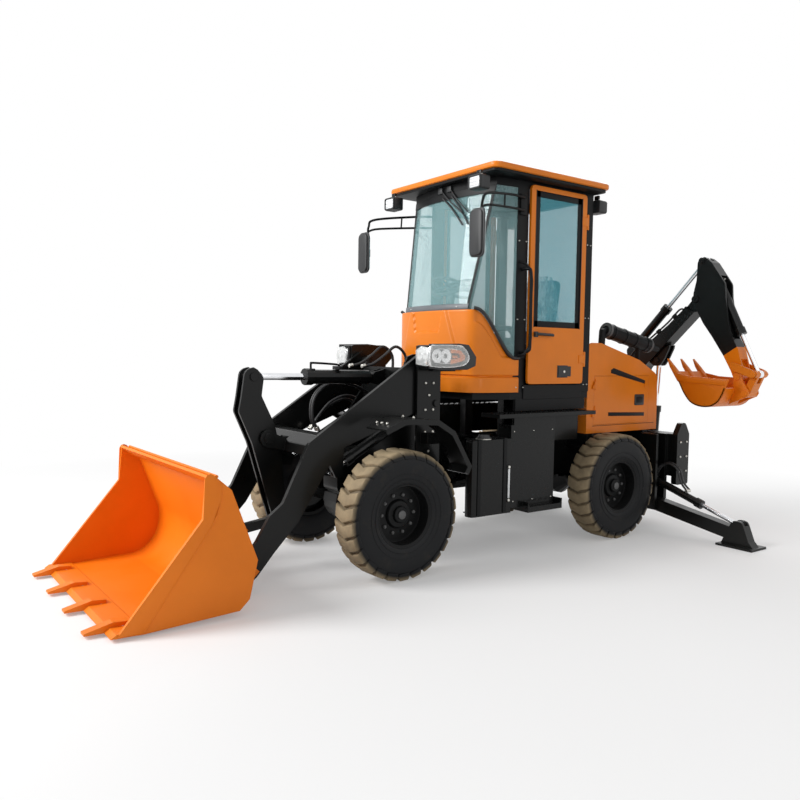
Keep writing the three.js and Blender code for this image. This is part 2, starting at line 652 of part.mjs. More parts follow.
const guidePlate = yPlate([[1094, 1424, 30], [1062, 1462, 30], [1094, 1498, 30], [1283, 1428, 30], [1318, 1394, 30], [1283, 1360, 30]], 90, 108);
piece(
  "guide_link",
  join(bothY(guidePlate), yDisc(GUIDE_PIN, -91, 91, 20, 12), bothY(yDisc(GUIDE_PIN, 65.5, 91, 30, 12))),
  ORANGE,
);
const pushShape = [[1252, 1400, 30], [1283, 1428, 30], [1315, 1394, 30], [1240, 1225, 30], [1205, 1190, 30], [1172, 1225, 30]];
piece(
  "push_link",
  cut(
    join(
      yPlate(pushShape, -56, 56),
      yDisc(DIG_LINK_PIN, -65, 65, 34),
      yDisc(LINK_JOINT, -89.5, 89.5, 32),
    ),
    yPlate([[1220, 1300], [1380, 1340], [1380, 1480], [1200, 1480]], -26, 26),
  ),
  ORANGE,
);

const DIG_HALF = DIG_WIDTH / 2;
const digSide = [[604, 1394], [697, 1280], [790, 1140], [840, 1096], [1040, 1106], [1090, 1180], [1149, 1345], [771, 1362]];
const digPath = [[604, 1394], [697, 1280], [790, 1140], [840, 1096], [1040, 1106], [1090, 1180], [1118, 1268]];
const digTeeth = [-200, 0, 200].map((y) =>
  yPlate([[664, 1352], [600, 1438], [520, 1520], [552, 1440], [640, 1322]], y - 24, y + 24),
);
const digEar = join(
  yPlate(
    [[1098, 1400, 30], [1170, 1408, 40], [1186, 1330], [1246, 1240, 30], [1205, 1182, 40], [1060, 1120], [1084, 1200], [1102, 1300]],
    65.5,
    85,
  ),
  yDisc(DIG_LINK_PIN, 65.5, 96, 26, 12),
);
piece(
  "backhoe_bucket",
  join(
    yPlate(sheet(digPath, -14), -DIG_HALF, DIG_HALF),
    bothY(yPlate(digSide, DIG_HALF - 16, DIG_HALF)),
    digTeeth,
    bothY(digEar),
  ),
  ORANGE,
);

// ---- Cab ----
const FLOOR = 1235;
const EAVES = 2858;
const PILLAR_OUT = CAB_HALF - 2;
const HINGE_X = CAB_HALF + 11;
const DOOR_HINGE_Y = 1952;

const floorPlan = [[-520, 2040], [-520, 1140], [-430, 838], [0, 755], [430, 838], [520, 1140], [520, 2040]];
const ringPlan = [
  [-PILLAR_OUT, 2040], [-PILLAR_OUT, 1172], [-500, 980], [-250, 920], [0, 896], [250, 920], [500, 980],
  [PILLAR_OUT, 1172], [PILLAR_OUT, 2040],
];
const ringHole = [[-480, 1990], [-480, 1190], [-455, 1025], [-230, 968], [0, 946], [230, 968], [455, 1025], [480, 1190], [480, 1990]];
const handrail = tube(
  [[515, 1200, 2250], [585, 1236, 2215], [600, 1262, 2160], [600, 1262, 1875], [600, 1262, 1590], [585, 1236, 1540], [515, 1200, 1510]],
  RAIL_RADIUS,
);
const doorLug = (z) => join(
  box(PILLAR_OUT - 2, HINGE_X + 10, 1946, 1962, z - 70, z - 30),
  box(PILLAR_OUT - 2, HINGE_X + 10, 1946, 1962, z + 30, z + 70),
);
const cabSide = join(
  box(495, 517, 1175, 1290, FLOOR - 1, 1510),
  box(495, PILLAR_OUT, 1175, 1290, 1500, 2801),
  box(480, PILLAR_OUT, 1945, 2040, FLOOR - 1, 2801),
  box(495, PILLAR_OUT, 1280, 1950, 1180, 1292),
  box(500, 525, 1200, 2000, 1088, 1185),
  bar([374, 833, 1866], [478, 999, 2801], 16, 8),
  bar([374, 833, 1870], [374, 850, FLOOR - 1], 16, 8),
  bar([374, 845, 1835], [500, 1185, 1480], 12, 8),
  handrail,
  doorLug(1500),
  doorLug(2620),
);
piece(
  "cab_frame",
  join(
    slabZ(floorPlan, 1180, FLOOR),
    cut(slabZ(ringPlan, 2800, EAVES - FIT), slabZ(ringHole, 2790, EAVES + 1)),
    box(-500, 500, 2020, 2040, FLOOR - 1, 1690),
    both(cabSide),
  ),
  BLACK,
);

// The front panel below the windscreen: a creased shell, open to the cab behind.
const cowlPlan = [[-CAB_HALF, 1225], [-CAB_HALF, 1130], [-450, 800], [0, 720], [450, 800], [CAB_HALF, 1130], [CAB_HALF, 1225]];
const cowlHollow = [[-518, 1240], [-518, 1132], [-440, 811], [0, 733], [440, 811], [518, 1132], [518, 1240]];
piece(
  "cowl",
  cut(
    slabZ(cowlPlan, FLOOR + FIT, 1860),
    slabZ(cowlHollow, FLOOR - 1, 1848),
    slabX([[815, 1850], [1170, 1490], [1300, 1490], [1300, 1900], [815, 1900]], -600, 600),
  ),
  ORANGE,
);

// A bent pane: rows of points on its outer face, the thickness laid inwards.
function pane(rows, thickness) {
  const high = rows.length;
  const wide = rows[0].length;
  const outer = rows.flat().map((p) => new THREE.Vector3(...p));
  const at = (i, j) => outer[Math.min(Math.max(i, 0), high - 1) * wide + Math.min(Math.max(j, 0), wide - 1)];
  const inner = outer.map((p, n) => {
    const i = Math.floor(n / wide);
    const j = n % wide;
    const across = at(i, j + 1).clone().sub(at(i, j - 1));
    const up = at(i + 1, j).clone().sub(at(i - 1, j));
    return p.clone().sub(across.cross(up).normalize().multiplyScalar(thickness));
  });
  const position = [...outer, ...inner].flatMap((p) => p.toArray());
  const index = [];
  const quad = (a, b, c, d) => index.push(a, b, c, a, c, d);
  const back = outer.length;
  for (let i = 0; i < high - 1; i += 1) {
    for (let j = 0; j < wide - 1; j += 1) {
      const n = i * wide + j;
      if (2 * j > wide - 2) {
        quad(n + 1, n + wide + 1, n + wide, n);
        quad(back + n + 1, back + n, back + n + wide, back + n + wide + 1);
      } else {
        quad(n, n + 1, n + wide + 1, n + wide);
        quad(back + n, back + n + wide, back + n + wide + 1, back + n + 1);
      }
    }
  }
  const rim = [];
  for (let j = 0; j < wide - 1; j += 1) rim.push(j);
  for (let i = 0; i < high - 1; i += 1) rim.push(i * wide + wide - 1);
  for (let j = wide - 1; j > 0; j -= 1) rim.push((high - 1) * wide + j);
  for (let i = high - 1; i > 0; i -= 1) rim.push(i * wide);
  rim.forEach((n, k) => {
    const next = rim[(k + 1) % rim.length];
    quad(n, back + n, back + next, next);
  });
  const geometry = new THREE.BufferGeometry();
  geometry.setAttribute("position", new THREE.Float32BufferAttribute(position, 3));
  geometry.setIndex(index);
  return solid(geometry);
}
const spread = [-1, -0.75, -0.5, -0.25, 0, 0.25, 0.5, 0.75, 1];
const low = spread.map((u) => [390 * u, 760 + 55 * u * u, 1866]);
const high = spread.map((u) => [497 * u, 900 + 83 * u * u, 2798]);
const quarterLow = [PILLAR_OUT - 2, 1172, 1500];
const quarterHigh = [PILLAR_OUT - 2, 1172, 2798];
const mirrorPoint = ([x, y, z]) => [-x, y, z];
piece(
  "windscreen",
  pane([[mirrorPoint(quarterLow), ...low, quarterLow], [mirrorPoint(quarterHigh), ...high, quarterHigh]], GLASS),
  GLAZING,
);
piece("rear_window", box(-480 + FIT, 480 - FIT, 2026, 2026 + GLASS, 1690 + FIT, 2800 - FIT), GLAZING);

const roofPlan = (inset) => [
  [-ROOF_HALF + inset, 2094 - inset, 60], [-ROOF_HALF + inset, 960, 80], [-600 + inset, 822 + inset, 80], [0, 806 + inset],
  [600 - inset, 822 + inset, 80], [ROOF_HALF - inset, 960, 80], [ROOF_HALF - inset, 2094 - inset, 60],
];
const lamps = join(
  slabX([[700, 2716, 20], [700, 2834, 20], [800, 2828, 30], [850, 2800, 30], [850, 2740, 30], [800, 2716, 30]], 470, 600),
  box(520, 550, 815, 845, 2800, EAVES + 1),
  slabX([[2185, 2712, 20], [2185, 2822, 20], [2110, 2822, 30], [2064, 2790, 20], [2064, 2740, 20], [2110, 2712, 30]], 430, 560),
  box(480, 510, 2066, 2090, 2790, EAVES + 1),
);
piece(
  "roof",
  join(
    slabZ(roofPlan(0), EAVES, EAVES + ROOF_DEPTH - 22),
    slabZ(roofPlan(22), EAVES + 1, EAVES + ROOF_DEPTH),
    both(lamps),
  ),
  ORANGE,
);

const doorOutline = [[1298, 1300, 30], [1937, 1300, 30], [1937, 2837, 30], [1298, 2837, 30]];
const doorHole = [[1350, 1748], [1880, 1748], [1880, 2800], [1350, 2800]];
const door = join(
  cut(slabX(doorOutline, CAB_HALF, CAB_HALF + 22), slabX(doorHole, CAB_HALF - 1, CAB_HALF + 23)),
  ...[1500, 2620].map((z) => join(
    box(CAB_HALF, HINGE_X + 10, 1925, 1950, z - 30 + PIN_FIT, z + 30 - PIN_FIT),
    discZ([HINGE_X, DOOR_HINGE_Y], z - 30 + PIN_FIT, z + 30 - PIN_FIT, 10),
  )),
  box(CAB_HALF + 21, CAB_HALF + 30, 1640, 1785, 1360, 1440),
  box(CAB_HALF + 21, CAB_HALF + 44, 1352, 1376, 1676, 1704),
  box(CAB_HALF + 34, CAB_HALF + 44, 1352, 1550, 1680, 1700),
);
const doorGlass = box(CAB_HALF + 8, CAB_HALF + 8 + GLASS, 1350 + FIT, 1880 - FIT, 1748 + FIT, 2800 - FIT);
piece("door_left", door, BLACK);
piece("door_right", mirrored(door), BLACK);
piece("door_glass_left", doorGlass, GLAZING);
piece("door_glass_right", mirrored(doorGlass), GLAZING);

piece(
  "seat",
  join(
    box(-170, 170, 1500, 1860, FLOOR + FIT, 1520),
    slabX([[1440, 1510, 30], [1430, 1620, 50], [1930, 1590], [1930, 1500]], -250, 250),
    slabX([[1860, 1570], [1940, 1570], [2010, 1900, 40], [2005, 2180, 50], [1930, 2190, 40], [1900, 1900, 60]], -235, 235),
    both(box(262, 318, 1560, 1920, 1790, 1830)),
    both(box(230, 300, 1900, 1930, 1600, 1800)),
  ),
  BLACK,
);

const wheelRim = new THREE.TorusGeometry(165, 14, 8, 24);
wheelRim.rotateX(THREE.MathUtils.degToRad(-25));
wheelRim.translate(0, 985, 2060);
const wheelAt = (turn) => {
  const a = THREE.MathUtils.degToRad(turn);
  const tilt = THREE.MathUtils.degToRad(-25);
  const y = 162 * Math.sin(a);
  return [162 * Math.cos(a), 985 + y * Math.cos(tilt), 2060 + y * Math.sin(tilt)];
};
piece(
  "steering_column",
  join(
    solid(wheelRim),
    ...[30, 150, 270].map((turn) => bar([0, 985, 2050], wheelAt(turn), 10, 8)),
    bar([0, 900, 1700], [0, 990, 2066], 32, 12),
    slabX([[850, FLOOR + FIT], [960, FLOOR + FIT], [960, 1700, 40], [890, 1740, 40], [850, 1700, 30]], -110, 110),
  ),
  BLACK,
);

const mirror = join(
  box(PILLAR_OUT + FIT, PILLAR_OUT + 14, 1200, 1262, 2600, 2752),
  bar([540, 1230, 2725], [720, 640, 2668], 9, 8),
  bar([540, 1230, 2628], [720, 640, 2600], 9, 8),
  bar([720, 640, 2682], [720, 640, 2380], 9, 8),
  slabX([[588, 2200, 14], [632, 2210, 14], [632, 2540, 14], [588, 2550, 14]], 642, 798),
);
piece("mirror_left", mirror, BLACK);
piece("mirror_right", mirrored(mirror), BLACK);

// ---- Hood with side doors, exhaust ----
const hoodShape = [[2062, 870], [2062, 1640, 40], [2230, 1640, 90], [2760, 1500, 90], [3016, 1372, 60], [3030, 1200], [3030, 870]];
const hoodHollow = [[2074, 860], [2074, 1627], [2224, 1627, 90], [2754, 1488, 90], [3004, 1362, 50], [3018, 1200], [3018, 860]];
const hoodHingeX = HOOD_HALF + 9.5;
const HOOD_HINGE_Y = 2149;
const hoodLugs = [1010, 1250].map((z) => join(
  discZ([hoodHingeX, HOOD_HINGE_Y], z, z + 30, 9, 10),
  box(HOOD_HALF - 1, hoodHingeX + 4, 2125, HOOD_HINGE_Y - 1, z, z + 30),
));
piece(
  "hood",
  join(
    cut(
      slabX(hoodShape, -HOOD_HALF, HOOD_HALF),
      slabX(hoodHollow, -HOOD_HALF + 10, HOOD_HALF - 10),
      box(-HOOD_HALF - 1, HOOD_HALF + 1, 2150, 2900, 940, 1360),
    ),
    both(join(...hoodLugs)),
  ),
  ORANGE,
);
const hoodDoor = join(
  box(HOOD_HALF - 10, HOOD_HALF, 2152, 2898, 942, 1358),
  ...[1040, 1280].map((z) => join(
    discZ([hoodHingeX, HOOD_HINGE_Y], z + PIN_FIT, z + 30, 9, 10),
    box(HOOD_HALF - 1, hoodHingeX + 4, 2152, 2172, z + PIN_FIT, z + 30),
  )),
  box(HOOD_HALF - 1, HOOD_HALF + 6, 2838, 2882, 1258, 1302),
);
piece("hood_door_left", hoodDoor, ORANGE);
piece("hood_door_right", mirrored(hoodDoor), ORANGE);

const MUFFLER_X = 360;
piece(
  "muffler",
  cut(
    join(
      bar([MUFFLER_X, 2450, 1760], [MUFFLER_X, 3060, 1635], 66, 16),
      bar([MUFFLER_X, 3050, 1637], [MUFFLER_X, 3200, 1606], 30, 12),
      bar([MUFFLER_X, 2470, 1756], [MUFFLER_X, 2400, 1740], 30, 12),
      bar([MUFFLER_X, 2408, 1756], [MUFFLER_X, 2396, 1560], 30, 12),
      box(MUFFLER_X - 20, MUFFLER_X + 20, 2900, 2912, 1400, 1660),
    ),
    slabX(hoodShape.map(([y, z, r]) => [y, z > 1300 ? z + FIT : z, r]), -HOOD_HALF, HOOD_HALF),
  ),
  BLACK,
);

// ---- The whole, moved so that the origin lies under its middle ----
const FRONT = -1890 - TOOTH_LENGTH;
const REAR = SWING_Y + DIG_HALF;
const group = new THREE.Group();
group.position.y = -(FRONT + REAR) / 2;
group.add(...pieces);
group.userData.pins = {
  WHEELBASE, TRACK, TYRE_RADIUS, HINGE_Y, ARM_PIN, LIFT_BASE, LIFT_EYE, LIFT_X, TILT_BASE, TILT_EYE, CRANK_PIN,
  CRANK_FOOT, LINK_EYE, BUCKET_PIN, SWING_Y, BOOM_FOOT, BOOM_RAM_BASE, BOOM_RAM_EYE, STICK_PIN, STICK_RAM_BASE,
  STICK_RAM_EYE, DIG_RAM_BASE, GUIDE_PIN, DIG_PIN, LINK_JOINT, DIG_LINK_PIN, LEG_Y, LEG_PIN, LEG_RAM_BASE,
  LEG_RAM_EYE, HINGE_X, DOOR_HINGE_Y, hoodHingeX, HOOD_HINGE_Y, shift: (FRONT + REAR) / 2,
};
export default group;
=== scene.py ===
# %% [markdown]
# # A compact articulated backhoe loader
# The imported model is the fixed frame: it says where every plate, pin and pane sits and which body carries it.
# This file dresses it. It gives each plate its paint and adds what is too fine for the solid model, such as
# tyre lugs, hoses, bolts, lamps, wipers and the trim of the cab.

# %% Load the frame
import math
import random

import bmesh
import bpy
from mathutils import Matrix, Vector


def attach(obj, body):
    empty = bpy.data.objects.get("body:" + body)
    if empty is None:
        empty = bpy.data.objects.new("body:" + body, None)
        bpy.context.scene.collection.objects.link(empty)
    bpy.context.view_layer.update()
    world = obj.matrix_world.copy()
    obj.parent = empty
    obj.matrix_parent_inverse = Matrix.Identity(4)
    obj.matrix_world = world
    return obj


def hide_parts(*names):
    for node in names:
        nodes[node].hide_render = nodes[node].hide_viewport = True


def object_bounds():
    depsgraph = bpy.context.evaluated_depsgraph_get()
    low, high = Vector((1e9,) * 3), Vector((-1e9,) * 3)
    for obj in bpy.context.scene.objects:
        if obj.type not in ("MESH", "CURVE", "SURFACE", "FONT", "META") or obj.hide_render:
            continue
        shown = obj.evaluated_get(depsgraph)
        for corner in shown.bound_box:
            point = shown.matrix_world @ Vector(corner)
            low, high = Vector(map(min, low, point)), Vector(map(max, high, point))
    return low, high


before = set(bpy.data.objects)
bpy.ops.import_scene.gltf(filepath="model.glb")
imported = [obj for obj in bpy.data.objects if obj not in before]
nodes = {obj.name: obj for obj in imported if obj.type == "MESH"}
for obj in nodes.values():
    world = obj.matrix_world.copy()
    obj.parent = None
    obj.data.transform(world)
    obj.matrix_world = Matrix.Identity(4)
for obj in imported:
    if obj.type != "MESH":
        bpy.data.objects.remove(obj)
cad_low, cad_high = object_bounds()
print("frame", [round(v, 3) for v in cad_high - cad_low], len(nodes), "nodes")

# %% [markdown]
# Points on the machine are easiest to give from the front axle, on the centre plane, at the ground, in
# millimetres. The frame's origin lies under the middle of the machine, so a small function moves a point
# there.

# %% Points on the machine
AXLE_TO_MIDDLE = 0.780
FRONT_AXLE_Y = 0.5 * (cad_low.y + cad_high.y) - AXLE_TO_MIDDLE
WHEELBASE = 2235
HALF_TRACK = 642.5
TYRE_RADIUS = 440
HANDS = (("left", 1), ("right", -1))


def at(x, y, z):
    return Vector((x / 1000, y / 1000 + FRONT_AXLE_Y, z / 1000))


def span(sign, inner, outer, middle=0):
    """Two distances from a middle plane on one side of it, as a low and a high bound."""
    return tuple(sorted((middle + sign * inner, middle + sign * outer)))


def mirrored(sign, points):
    return [(sign * x, y, z) for x, y, z in points]


def new_object(name, data):
    made = bpy.data.objects.new(name, data)
    bpy.context.scene.collection.objects.link(made)
    return made


print("front axle at y", round(FRONT_AXLE_Y, 3))

# %% [markdown]
# A node tree reads badly as a list of links. Two helpers do the plain work: one gives a socket a link or a
# value, and one adds any node with its settings and its inputs. The class then wraps a socket, so that a
# Python sum builds the Math nodes, and a long sum can be read as arithmetic.


# %% Node sums
def feed(tree, slot, value):
    """Give a node's socket a link or a value."""
    value = getattr(value, "socket", value)
    if isinstance(value, bpy.types.NodeSocket):
        tree.links.new(value, slot)
    else:
        slot.default_value = value


def add_node(tree, kind, settings=None, **inputs):
    """Add a node: its settings first, then its sockets, whose names are written with underscores."""
    node = tree.nodes.new(kind)
    for key, value in (settings or {}).items():
        setattr(node, key, value)
    for key, value in inputs.items():
        feed(tree, node.inputs[key.replace("_", " ")], value)
    return node


class Shade:
    """A socket that plain Python sums can be written with."""

    def __init__(self, tree, socket):
        self.tree = tree
        self.socket = socket

    def _math(self, operation, *values):
        node = add_node(self.tree, "ShaderNodeMath", {"operation": operation})
        for slot, value in zip(node.inputs, values):
            feed(self.tree, slot, value)
        return Shade(self.tree, node.outputs[0])

    def __add__(self, other):
        return self._math("ADD", self, other)

    def __radd__(self, other):
        return self._math("ADD", other, self)

    def __sub__(self, other):
        return self._math("SUBTRACT", self, other)

    def __rsub__(self, other):
        return self._math("SUBTRACT", other, self)

    def __mul__(self, other):
        return self._math("MULTIPLY", self, other)

    def __truediv__(self, other):
        return self._math("DIVIDE", self, other)

    def clamp(self, low, high):
        return self._math("MINIMUM", self._math("MAXIMUM", self, low), high)

    def ramp(self, low, high):
        """0 at low, 1 at high, straight between."""
        return ((self - low) * (1 / (high - low))).clamp(0.0, 1.0)


print("node sums ready")

# %% [markdown]
# A finish is one material. It could be a bare Principled shader, but every paint here needs the same things: a
# place on the piece, noise at some scale, a mix of two colours, and a bump. They are its methods. The place is
# Object coordinates, so the pattern stays on the part when it moves.


# %% A finish
class Finish:
    """One material: its node tree, its surface shader and the node-adding method."""

    def __init__(self, name):
        self.material = bpy.data.materials.new(name)
        self.material.use_nodes = True
        self.tree = self.material.node_tree
        self.surface = self.tree.nodes["Principled BSDF"]
        self.place = self.add("ShaderNodeTexCoord")["Object"]

    def add(self, kind, settings=None, **inputs):
        node = add_node(self.tree, kind, settings, **inputs)
        return {out.name: Shade(self.tree, out) for out in node.outputs}

    def set(self, **inputs):
        for key, value in inputs.items():
            feed(self.tree, self.surface.inputs[key.replace("_", " ")], value)

    def noise(self, scale, detail=3.0, roughness=0.5, stretch=None):
        where = self.place
        if stretch:
            where = self.add("ShaderNodeMapping", Vector=where, Scale=stretch)["Vector"]
        made = self.add("ShaderNodeTexNoise", Vector=where, Scale=scale, Detail=detail, Roughness=roughness)
        return made["Fac" if "Fac" in made else "Factor"]

    def mix(self, factor, first, second):
        node = add_node(self.tree, "ShaderNodeMix", {"data_type": "RGBA"})
        for slot, value in zip((node.inputs[0], node.inputs[6], node.inputs[7]), (factor, first, second)):
            feed(self.tree, slot, value)
        return Shade(self.tree, node.outputs[2])

    def bump(self, height, depth, strength=1.0, normal=None):
        inputs = {"Height": height, "Distance": depth, "Strength": strength}
        if normal:
            inputs["Normal"] = normal
        return self.add("ShaderNodeBump", **inputs)["Normal"]

    def soft_edges(self, radius):
        return self.add("ShaderNodeBevel", {"samples": 4}, Radius=radius)["Normal"]


def colour(r, g, b):
    return (r, g, b, 1.0)


print("finishes can be made")


# %% [markdown]
# Sprayed paint on welded plate is glossy but never flat: it has a faint orange-peel ripple, a little uneven
# gloss, and dust that gathers low down and on faces that look up. Sharp plate edges catch a thin line of light,
# which a Bevel node rounds in the shading without touching the mesh.


# %% Sprayed paint
def paint(name, base, dusty, gloss, dust, coat, shine, second=None, edge=0.004):
    """Paint with dust on it; second is another colour past a slanting line, as (colour, direction, start)."""
    f = Finish(name)
    axes = f.add("ShaderNodeSeparateXYZ", Vector=f.place)
    facing = f.add("ShaderNodeSeparateXYZ", Vector=f.add("ShaderNodeNewGeometry")["Normal"])
    cloud = f.noise(2.2, 5.0, 0.6)
    speck = f.noise(55.0, 4.0, 0.7)
    low = 1.0 - axes["Z"].ramp(0.05, 1.3)
    upward = facing["Z"].ramp(0.45, 1.0)
    settled = (low * 0.55 + upward * 0.45) * cloud.ramp(0.38, 0.72) * (0.55 + speck * 0.9)
    grime = settled.clamp(0.0, 1.0) * dust
    deep = tuple(0.86 * c for c in base[:3]) + (1.0,)
    body = f.mix(cloud.ramp(0.3, 0.7), deep, base)
    if second:
        other, way, start = second
        along = axes["X"] * way[0] + axes["Z"] * way[1] - start
        body = f.mix(along.ramp(-0.001, 0.001), body, other)
    f.set(
        Base_Color=f.mix(grime, body, dusty),
        Roughness=(gloss + grime * 0.55 + cloud * 0.08).clamp(0.05, 1.0),
        Normal=f.bump(f.noise(300.0, 2.0), 0.0003, 0.05, f.soft_edges(edge)),
        Coat_Weight=coat,
        Coat_Roughness=0.08,
        Specular_IOR_Level=shine,
    )
    return f.material


DUST = colour(0.055, 0.048, 0.040)
BLACK = colour(0.0045, 0.0050, 0.0050)
ORANGE = colour(0.84, 0.215, 0.003)
STICK_WAY = Vector((443, -690)).normalized()
ORANGE_FROM = STICK_WAY.x * 1.040 + STICK_WAY.y * 1.585
BUCKET_ORANGE = colour(0.86, 0.205, 0.002)
orange_paint = paint("orange paint", ORANGE, colour(0.46, 0.19, 0.05), 0.34, 0.12, 0.08, 0.35)
bucket_paint = paint("bucket paint", BUCKET_ORANGE, colour(0.42, 0.18, 0.05), 0.42, 0.16, 0.05, 0.30)
black_paint = paint("black paint", BLACK, DUST, 0.24, 0.12, 0.05, 0.22)
satin_black = paint("satin black", colour(0.0050, 0.0055, 0.0060), DUST, 0.40, 0.12, 0.0, 0.16)
stick_paint = paint("stick paint", BLACK, DUST, 0.26, 0.05, 0.10, 0.22, (ORANGE, STICK_WAY, ORANGE_FROM))
print("paints:", orange_paint.name, bucket_paint.name, black_paint.name, satin_black.name)

# %% [markdown]
# Rubber is dull and slightly brown where it has run on dry ground. The tread carries pale dust, the sidewall
# almost none, so the dust follows the distance from the wheel's axle, worked out from Object coordinates.


# %% Rubber
SIDEWALL_END = 0.402
TREAD_START = 0.432


def rubber(name, axle_y):
    f = Finish(name)
    axes = f.add("ShaderNodeSeparateXYZ", Vector=f.place)
    dy = axes["Y"] - axle_y
    dz = axes["Z"] - TYRE_RADIUS / 1000
    tread = (dy * dy + dz * dz).ramp(SIDEWALL_END**2, TREAD_START**2)
    cloud = f.noise(9.0, 4.0, 0.65)
    speck = f.noise(90.0, 3.0, 0.6)
    dust = (tread * (0.25 + cloud * 0.75) + cloud.ramp(0.55, 0.85) * 0.03).clamp(0.0, 1.0)
    f.set(
        Base_Color=f.mix(dust, colour(0.0045, 0.0050, 0.0060), colour(0.47, 0.365, 0.225)),
        Roughness=(0.5 + dust * 0.4).clamp(0.0, 1.0),
        Normal=f.bump(speck, 0.0015, 0.35, f.soft_edges(0.004)),
        Specular_IOR_Level=0.22,
    )
    return f.material


print("rubber wears from", SIDEWALL_END, "to", TREAD_START, "m off the axle")

# %% [markdown]
# Chrome, zinc, cast iron and moulded plastic differ in colour, shine and grain, but none is perfectly even. One
# function covers them all: a cloud makes the colour and the shine drift a little, and a fine grain bends the
# light.


# %% Plastic, metal, lamp glass
def plain(name, base, roughness, metallic=0.0, grain=250.0, depth=0.0004, edge=0.002):
    f = Finish(name)
    cloud = f.noise(6.0, 4.0, 0.6)
    fine = f.noise(grain, 2.0)
    paler = tuple(min(1.0, c * 1.3 + 0.004) for c in base[:3]) + (1.0,)
    f.set(
        Base_Color=f.mix(cloud.ramp(0.35, 0.75), base, paler),
        Roughness=(roughness + cloud * 0.08 - 0.04).clamp(0.02, 1.0),
        Normal=f.bump(fine, depth, 0.3, f.soft_edges(edge)),
        Metallic=metallic,
    )
    return f.material


tyre_front = rubber("front tyre rubber", at(0, 0, 0).y)
tyre_rear = rubber("rear tyre rubber", at(0, WHEELBASE, 0).y)
rod_chrome = plain("rod chrome", colour(0.72, 0.73, 0.75), 0.10, 1.0, 600.0, 0.0001)
bright_steel = plain("zinc bolts", colour(0.55, 0.54, 0.50), 0.32, 1.0)
cast_iron = plain("engine casting", colour(0.10, 0.10, 0.10), 0.6, 0.6, 120.0, 0.0012)
black_plastic = plain("moulded plastic", colour(0.010, 0.011, 0.012), 0.5, 0.0, 320.0, 0.0005)
hose_rubber = plain("hose rubber", colour(0.009, 0.009, 0.010), 0.5, 0.0, 500.0, 0.0004, 0.001)
grey_plate = plain("grey plate", colour(0.11, 0.12, 0.13), 0.45)
amber_lens = plain("amber lens", colour(0.85, 0.22, 0.01), 0.12)
mirror_glass = plain("mirror glass", colour(0.75, 0.78, 0.80), 0.03, 1.0, 50.0, 0.0)
reflector = plain("lamp reflector", colour(0.80, 0.81, 0.82), 0.12, 1.0, 90.0, 0.001)
white_lens = plain("lamp lens", colour(0.72, 0.74, 0.75), 0.14, 0.0, 60.0, 0.002)
print(len(bpy.data.materials), "materials so far")

# %% [markdown]
# Cab glass is thin, faintly green-blue, and mostly shows what is behind it. A mix of clear transparency and a
# sharp gloss keeps the cab's inside readable, and costs far less light-tracing than real refraction.


# %% Window glass
def window_glass(name, tint, body):
    f = Finish(name)
    streak = f.noise(1.6, 3.0, 0.5, (1.0, 1.0, 0.35))
    f.set(Base_Color=tint, Roughness=0.04, IOR=1.5, Alpha=(body + streak * 0.10).clamp(0.0, 1.0))
    f.material.surface_render_method = "BLENDED"
    return f.material


cab_glass = window_glass("cab glass", colour(0.36, 0.62, 0.64), 0.24)
door_glazing = window_glass("door glass", colour(0.08, 0.46, 0.56), 0.38)
print("glass:", cab_glass.name, "and", door_glazing.name)

# %% [markdown]
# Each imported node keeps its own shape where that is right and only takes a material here. The table goes by how
# a name begins, and the longest match wins, so that a door's glass is glass and the rest of the door is paint.
# What the table doesn't name is black paint, as most of the machine's plate is.

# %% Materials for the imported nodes
FINISH_OF = {
    "tyre_front": tyre_front, "tyre_rear": tyre_rear, "rim": satin_black, "loader_bucket": bucket_paint,
    "backhoe_bucket": bucket_paint, "cowl": orange_paint, "hood": orange_paint, "roof": orange_paint,
    "door_glass": door_glazing, "door_": orange_paint, "windscreen": cab_glass, "rear_window": cab_glass,
    "engine": cast_iron, "seat": black_plastic, "steering": black_plastic, "mirror": black_plastic,
    "cab_frame": satin_black, "muffler": satin_black, "stick": stick_paint, "stick_cylinder": black_paint,
    "guide_link": orange_paint, "push_link": orange_paint, "tank": black_paint,
}


def dress(piece, material):
    piece.data.materials.clear()
    piece.data.materials.append(material)


for name, piece in nodes.items():
    if "_rod" in name:
        dress(piece, rod_chrome)
        continue
    match = [key for key in FINISH_OF if name.startswith(key)]
    dress(piece, FINISH_OF[max(match, key=len)] if match else black_paint)
print("dressed", len(nodes), "nodes")


def touch_up(name, material, low, high):
    """Give another finish to the faces of a node whose centres lie in a box, on either side of the machine."""
    data = nodes[name].data
    data.materials.append(material)
    a, b = at(*low), at(*high)
    count = 0
    for face in data.polygons:
        c = face.center
        if a.x <= abs(c.x) <= b.x and a.y <= c.y <= b.y and a.z <= c.z <= b.z:
            face.material_index = len(data.materials) - 1
            count += 1
    print("touched up", name, count, "faces")


for hand, _ in HANDS:
    touch_up("door_" + hand, black_plastic, (552.5, 1330, 1650), (600, 1600, 1730))
    touch_up("door_" + hand, black_plastic, (552.5, 1620, 1340), (600, 1800, 1460))

# %% [markdown]
# Most of the fine parts are made the way a workshop makes them: plate cut to an outline and folded or welded,
# round parts turned about an axle, and hoses drawn along a path. A small class collects such shapes, each with
# its finish, into one mesh, marks its sharp edges and puts it on the body that carries it.


# %% Curves and folds
SHARP = math.radians(38)
AXIS_GAP = 0.05


